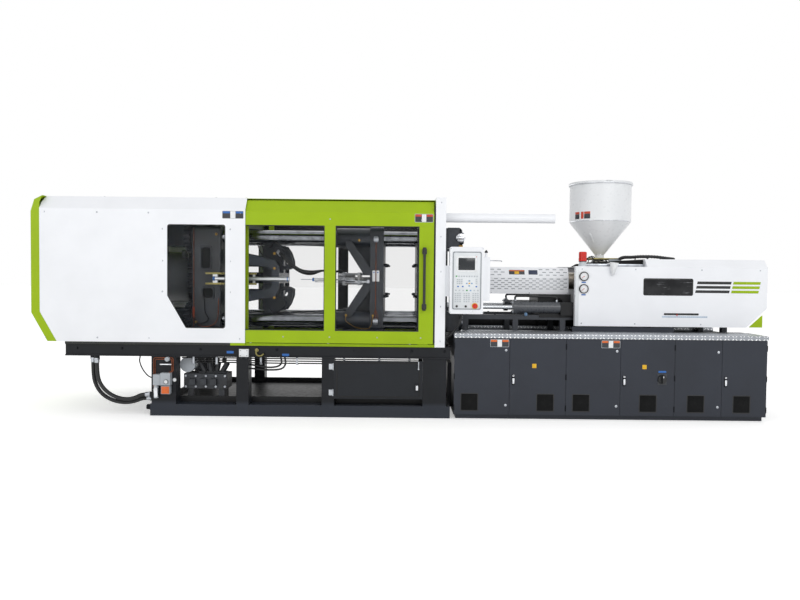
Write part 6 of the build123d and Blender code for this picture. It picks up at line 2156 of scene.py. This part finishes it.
@dataclass
class Cabinet(Part):
    """Louvres, handles, hinges and label plates of the cabinet."""

    edges: tuple[float, ...] = (0.536, 1.078, 1.63, 2.162, 2.693, 3.154, 3.595)
    grilles: tuple[float, ...] = (0.688, 1.43, 1.78, 2.435, 2.902, 3.352)

    def build(self) -> None:
        """Add all pieces."""
        for number, x in enumerate(self.grilles):
            (Shape().plate(rectangle(x - 0.087, x + 0.087, 0.081, 0.257), (-0.8514, DOOR_FACE), corner=0.005,
                           bevel=0.0004, holes=[rectangle(x - 0.079, x + 0.079, 0.089, 0.249)])
             .place(f"grille_frame_{number + 1}", "black_plastic", f"cabinet_door_{number + 1}"))
            (Shape().plate(rectangle(x - 0.081, x + 0.081, 0.087, 0.251), (-0.8503, -0.85), bevel=0.0001)
             .place(f"grille_back_{number + 1}", "grille_black", f"cabinet_door_{number + 1}"))
            blade = Shape().box((-0.079, -0.0006, -0.0032), (0.079, 0.0006, 0.0032), 0.0003)
            blade.mesh.transform(Matrix.Rotation(math.radians(-10), 4, "X"))
            repeat(f"grille_blades_{number + 1}", blade,
                   [(x, DOOR_FACE, 0.0935 + 0.0086 * n) for n in range(18)], "grille_black",
                   f"cabinet_door_{number + 1}")
            left, right = self.edges[number] + 0.0015, self.edges[number + 1] - 0.0015
            spine = left if number % 2 == 0 else right
            hinge = Shape()
            for z in (0.115, 0.42, 0.72):
                hinge.rod((spine, -0.85, z - 0.028), (spine, -0.85, z + 0.028), 0.0048, 0.0008, 20)
            hinge.place(f"cabinet_hinges_{number + 1}", "black_steel")
            if number % 2:
                self.handle(number, left + 0.036)
            else:
                lock = Shape()
                for z in (0.14, 0.68):
                    x0 = right - 0.035
                    lock.lathe([(0.0125, 0), (0.0125, 0.002), (0.0105, 0.0035), (0, 0.0035)],
                               (x0, DOOR_FACE, z), Axis.FRONT, 32)
                    lock.box((x0 - 0.0012, -0.8545, z - 0.007), (x0 + 0.0012, -0.8532, z + 0.007), 0.0003)
                lock.place(f"cabinet_locks_{number + 1}", "zinc", f"cabinet_door_{number + 1}")
        self.label("cabinet_label_left", (0.886, 0.711), (1.069, 0.785), -0.8502, "cabinet_door_1")
        self.label("cabinet_label_right", (1.972, 0.711), (2.155, 0.785), -0.8502, "cabinet_door_3")
        (Shape().plate(rectangle(2.533, 2.609, 0.474, 0.492), (-0.8515, DOOR_FACE), corner=0.003,
                       bevel=0.0003).place("switch_tag", "blue_plastic", "cabinet_door_4"))
        ring = circle((2.571, 0.41), 0.0435, 48, closed=False)
        (Shape().plate(rectangle(2.526, 2.616, 0.355, 0.465), (-0.8525, DOOR_FACE), bevel=0.0004,
                       holes=[ring]).place("switch_surround", "dark_plastic", "cabinet_door_4"))
        (Shape().box((2.5675, -0.8946, 0.428), (2.5745, -0.8941, 0.444), 0.0002)
         .place("switch_mark", "white_plastic", "main_switch"))
        for number, x in ((2, 1.298), (4, 2.375)):
            outline = rectangle(x, x + 0.042, 0.508, 0.55)
            (Shape().plate(outline, (-0.8512, DOOR_FACE), corner=0.004, bevel=0.0003)
             .place(f"door_plate_{number}", "yellow_plastic", f"cabinet_door_{number}"))
        for side, place in SIDES:
            (Shape().box((0.534, side * 0.8585, 0.7985), (3.601, side * 0.8562, 0.8385), 0.001)
             .place(f"tread_lip_{place}", "tread_plate"))
        self.rear()

    def handle(self, number: int, x: float) -> None:
        """Add a swing handle to a door.

        Args:
            number: the door's number, less one.
            x: where the handle is.
        """
        (Shape().plate(rectangle(x - 0.0145, x + 0.0145, 0.338, 0.446), (-0.8545, DOOR_FACE), corner=0.012,
                       bevel=0.0015)
         .place(f"handle_plate_{number + 1}", "black_steel", f"cabinet_door_{number + 1}", "ground_steel"))
        (Shape().plate([(x - 0.0085, 0.352), (x + 0.0085, 0.352), (x + 0.0105, 0.408), (x - 0.0105, 0.408)],
                       (-0.8625, -0.8546), corner=0.006, bevel=0.002)
         .rod((x, -0.8546, 0.431), (x, -0.86, 0.431), 0.0095, 0.001)
         .place(f"handle_lever_{number + 1}", "chrome", f"cabinet_door_{number + 1}"))
        (Shape().rod((x, -0.8601, 0.431), (x, -0.8606, 0.431), 0.0042, 0.0002)
         .place(f"handle_lock_{number + 1}", "black_plastic", f"cabinet_door_{number + 1}"))

    def rear(self) -> None:
        """Add louvres, locks, seams and a plate to the rear panels."""
        blade = Shape().box((-0.08, -0.0015, -0.005), (0.08, 0.0015, 0.005), 0.0008)
        blade.mesh.transform(Matrix.Rotation(math.radians(28), 4, "X"))
        spots = [(x, 0.8484, 0.1 + 0.016 * n) for x in (0.8, 1.35, 1.9, 2.43, 2.92, 3.37) for n in range(10)]
        repeat("rear_louvres", blade, spots, "dark_paint")
        locks = Shape()
        for x in (0.56, 1.055, 1.1, 1.61, 1.65, 2.14, 2.185, 2.67, 2.715, 3.13, 3.175, 3.57):
            for z in (0.1, 0.74):
                locks.lathe([(0.0125, 0), (0.0125, 0.002), (0.0105, 0.0035), (0, 0.0035)], (x, REAR_FACE, z),
                            Axis.BACK, 24)
        locks.place("rear_panel_locks", "zinc")
        seams = Shape()
        for x in self.edges[1:-1]:
            seams.box((x - 0.0012, REAR_FACE, 0.05), (x + 0.0012, 0.8474, 0.79), 0.0001)
        seams.place("rear_panel_seams", "seal_rubber", "base", "black_plastic")
        (Shape().plate(rectangle(2.9, 3.06, 0.48, 0.6), (REAR_FACE, 0.8486), corner=0.005, bevel=0.0004)
         .place("rear_plate", "fascia_paint"))


def main() -> None:
    """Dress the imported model."""
    logging.basicConfig(level=logging.INFO, format="%(name)s: %(message)s")
    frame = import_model()
    Palette.dress(frame["nodes"])
    Studio().build()
    for assembly in (ReturnHoses, Guards, Clamp, Base, ControlPanel, Injection, Cabinet):
        log.info("building %s", assembly.__name__)
        assembly().build()


if __name__ == "__main__":
    main()
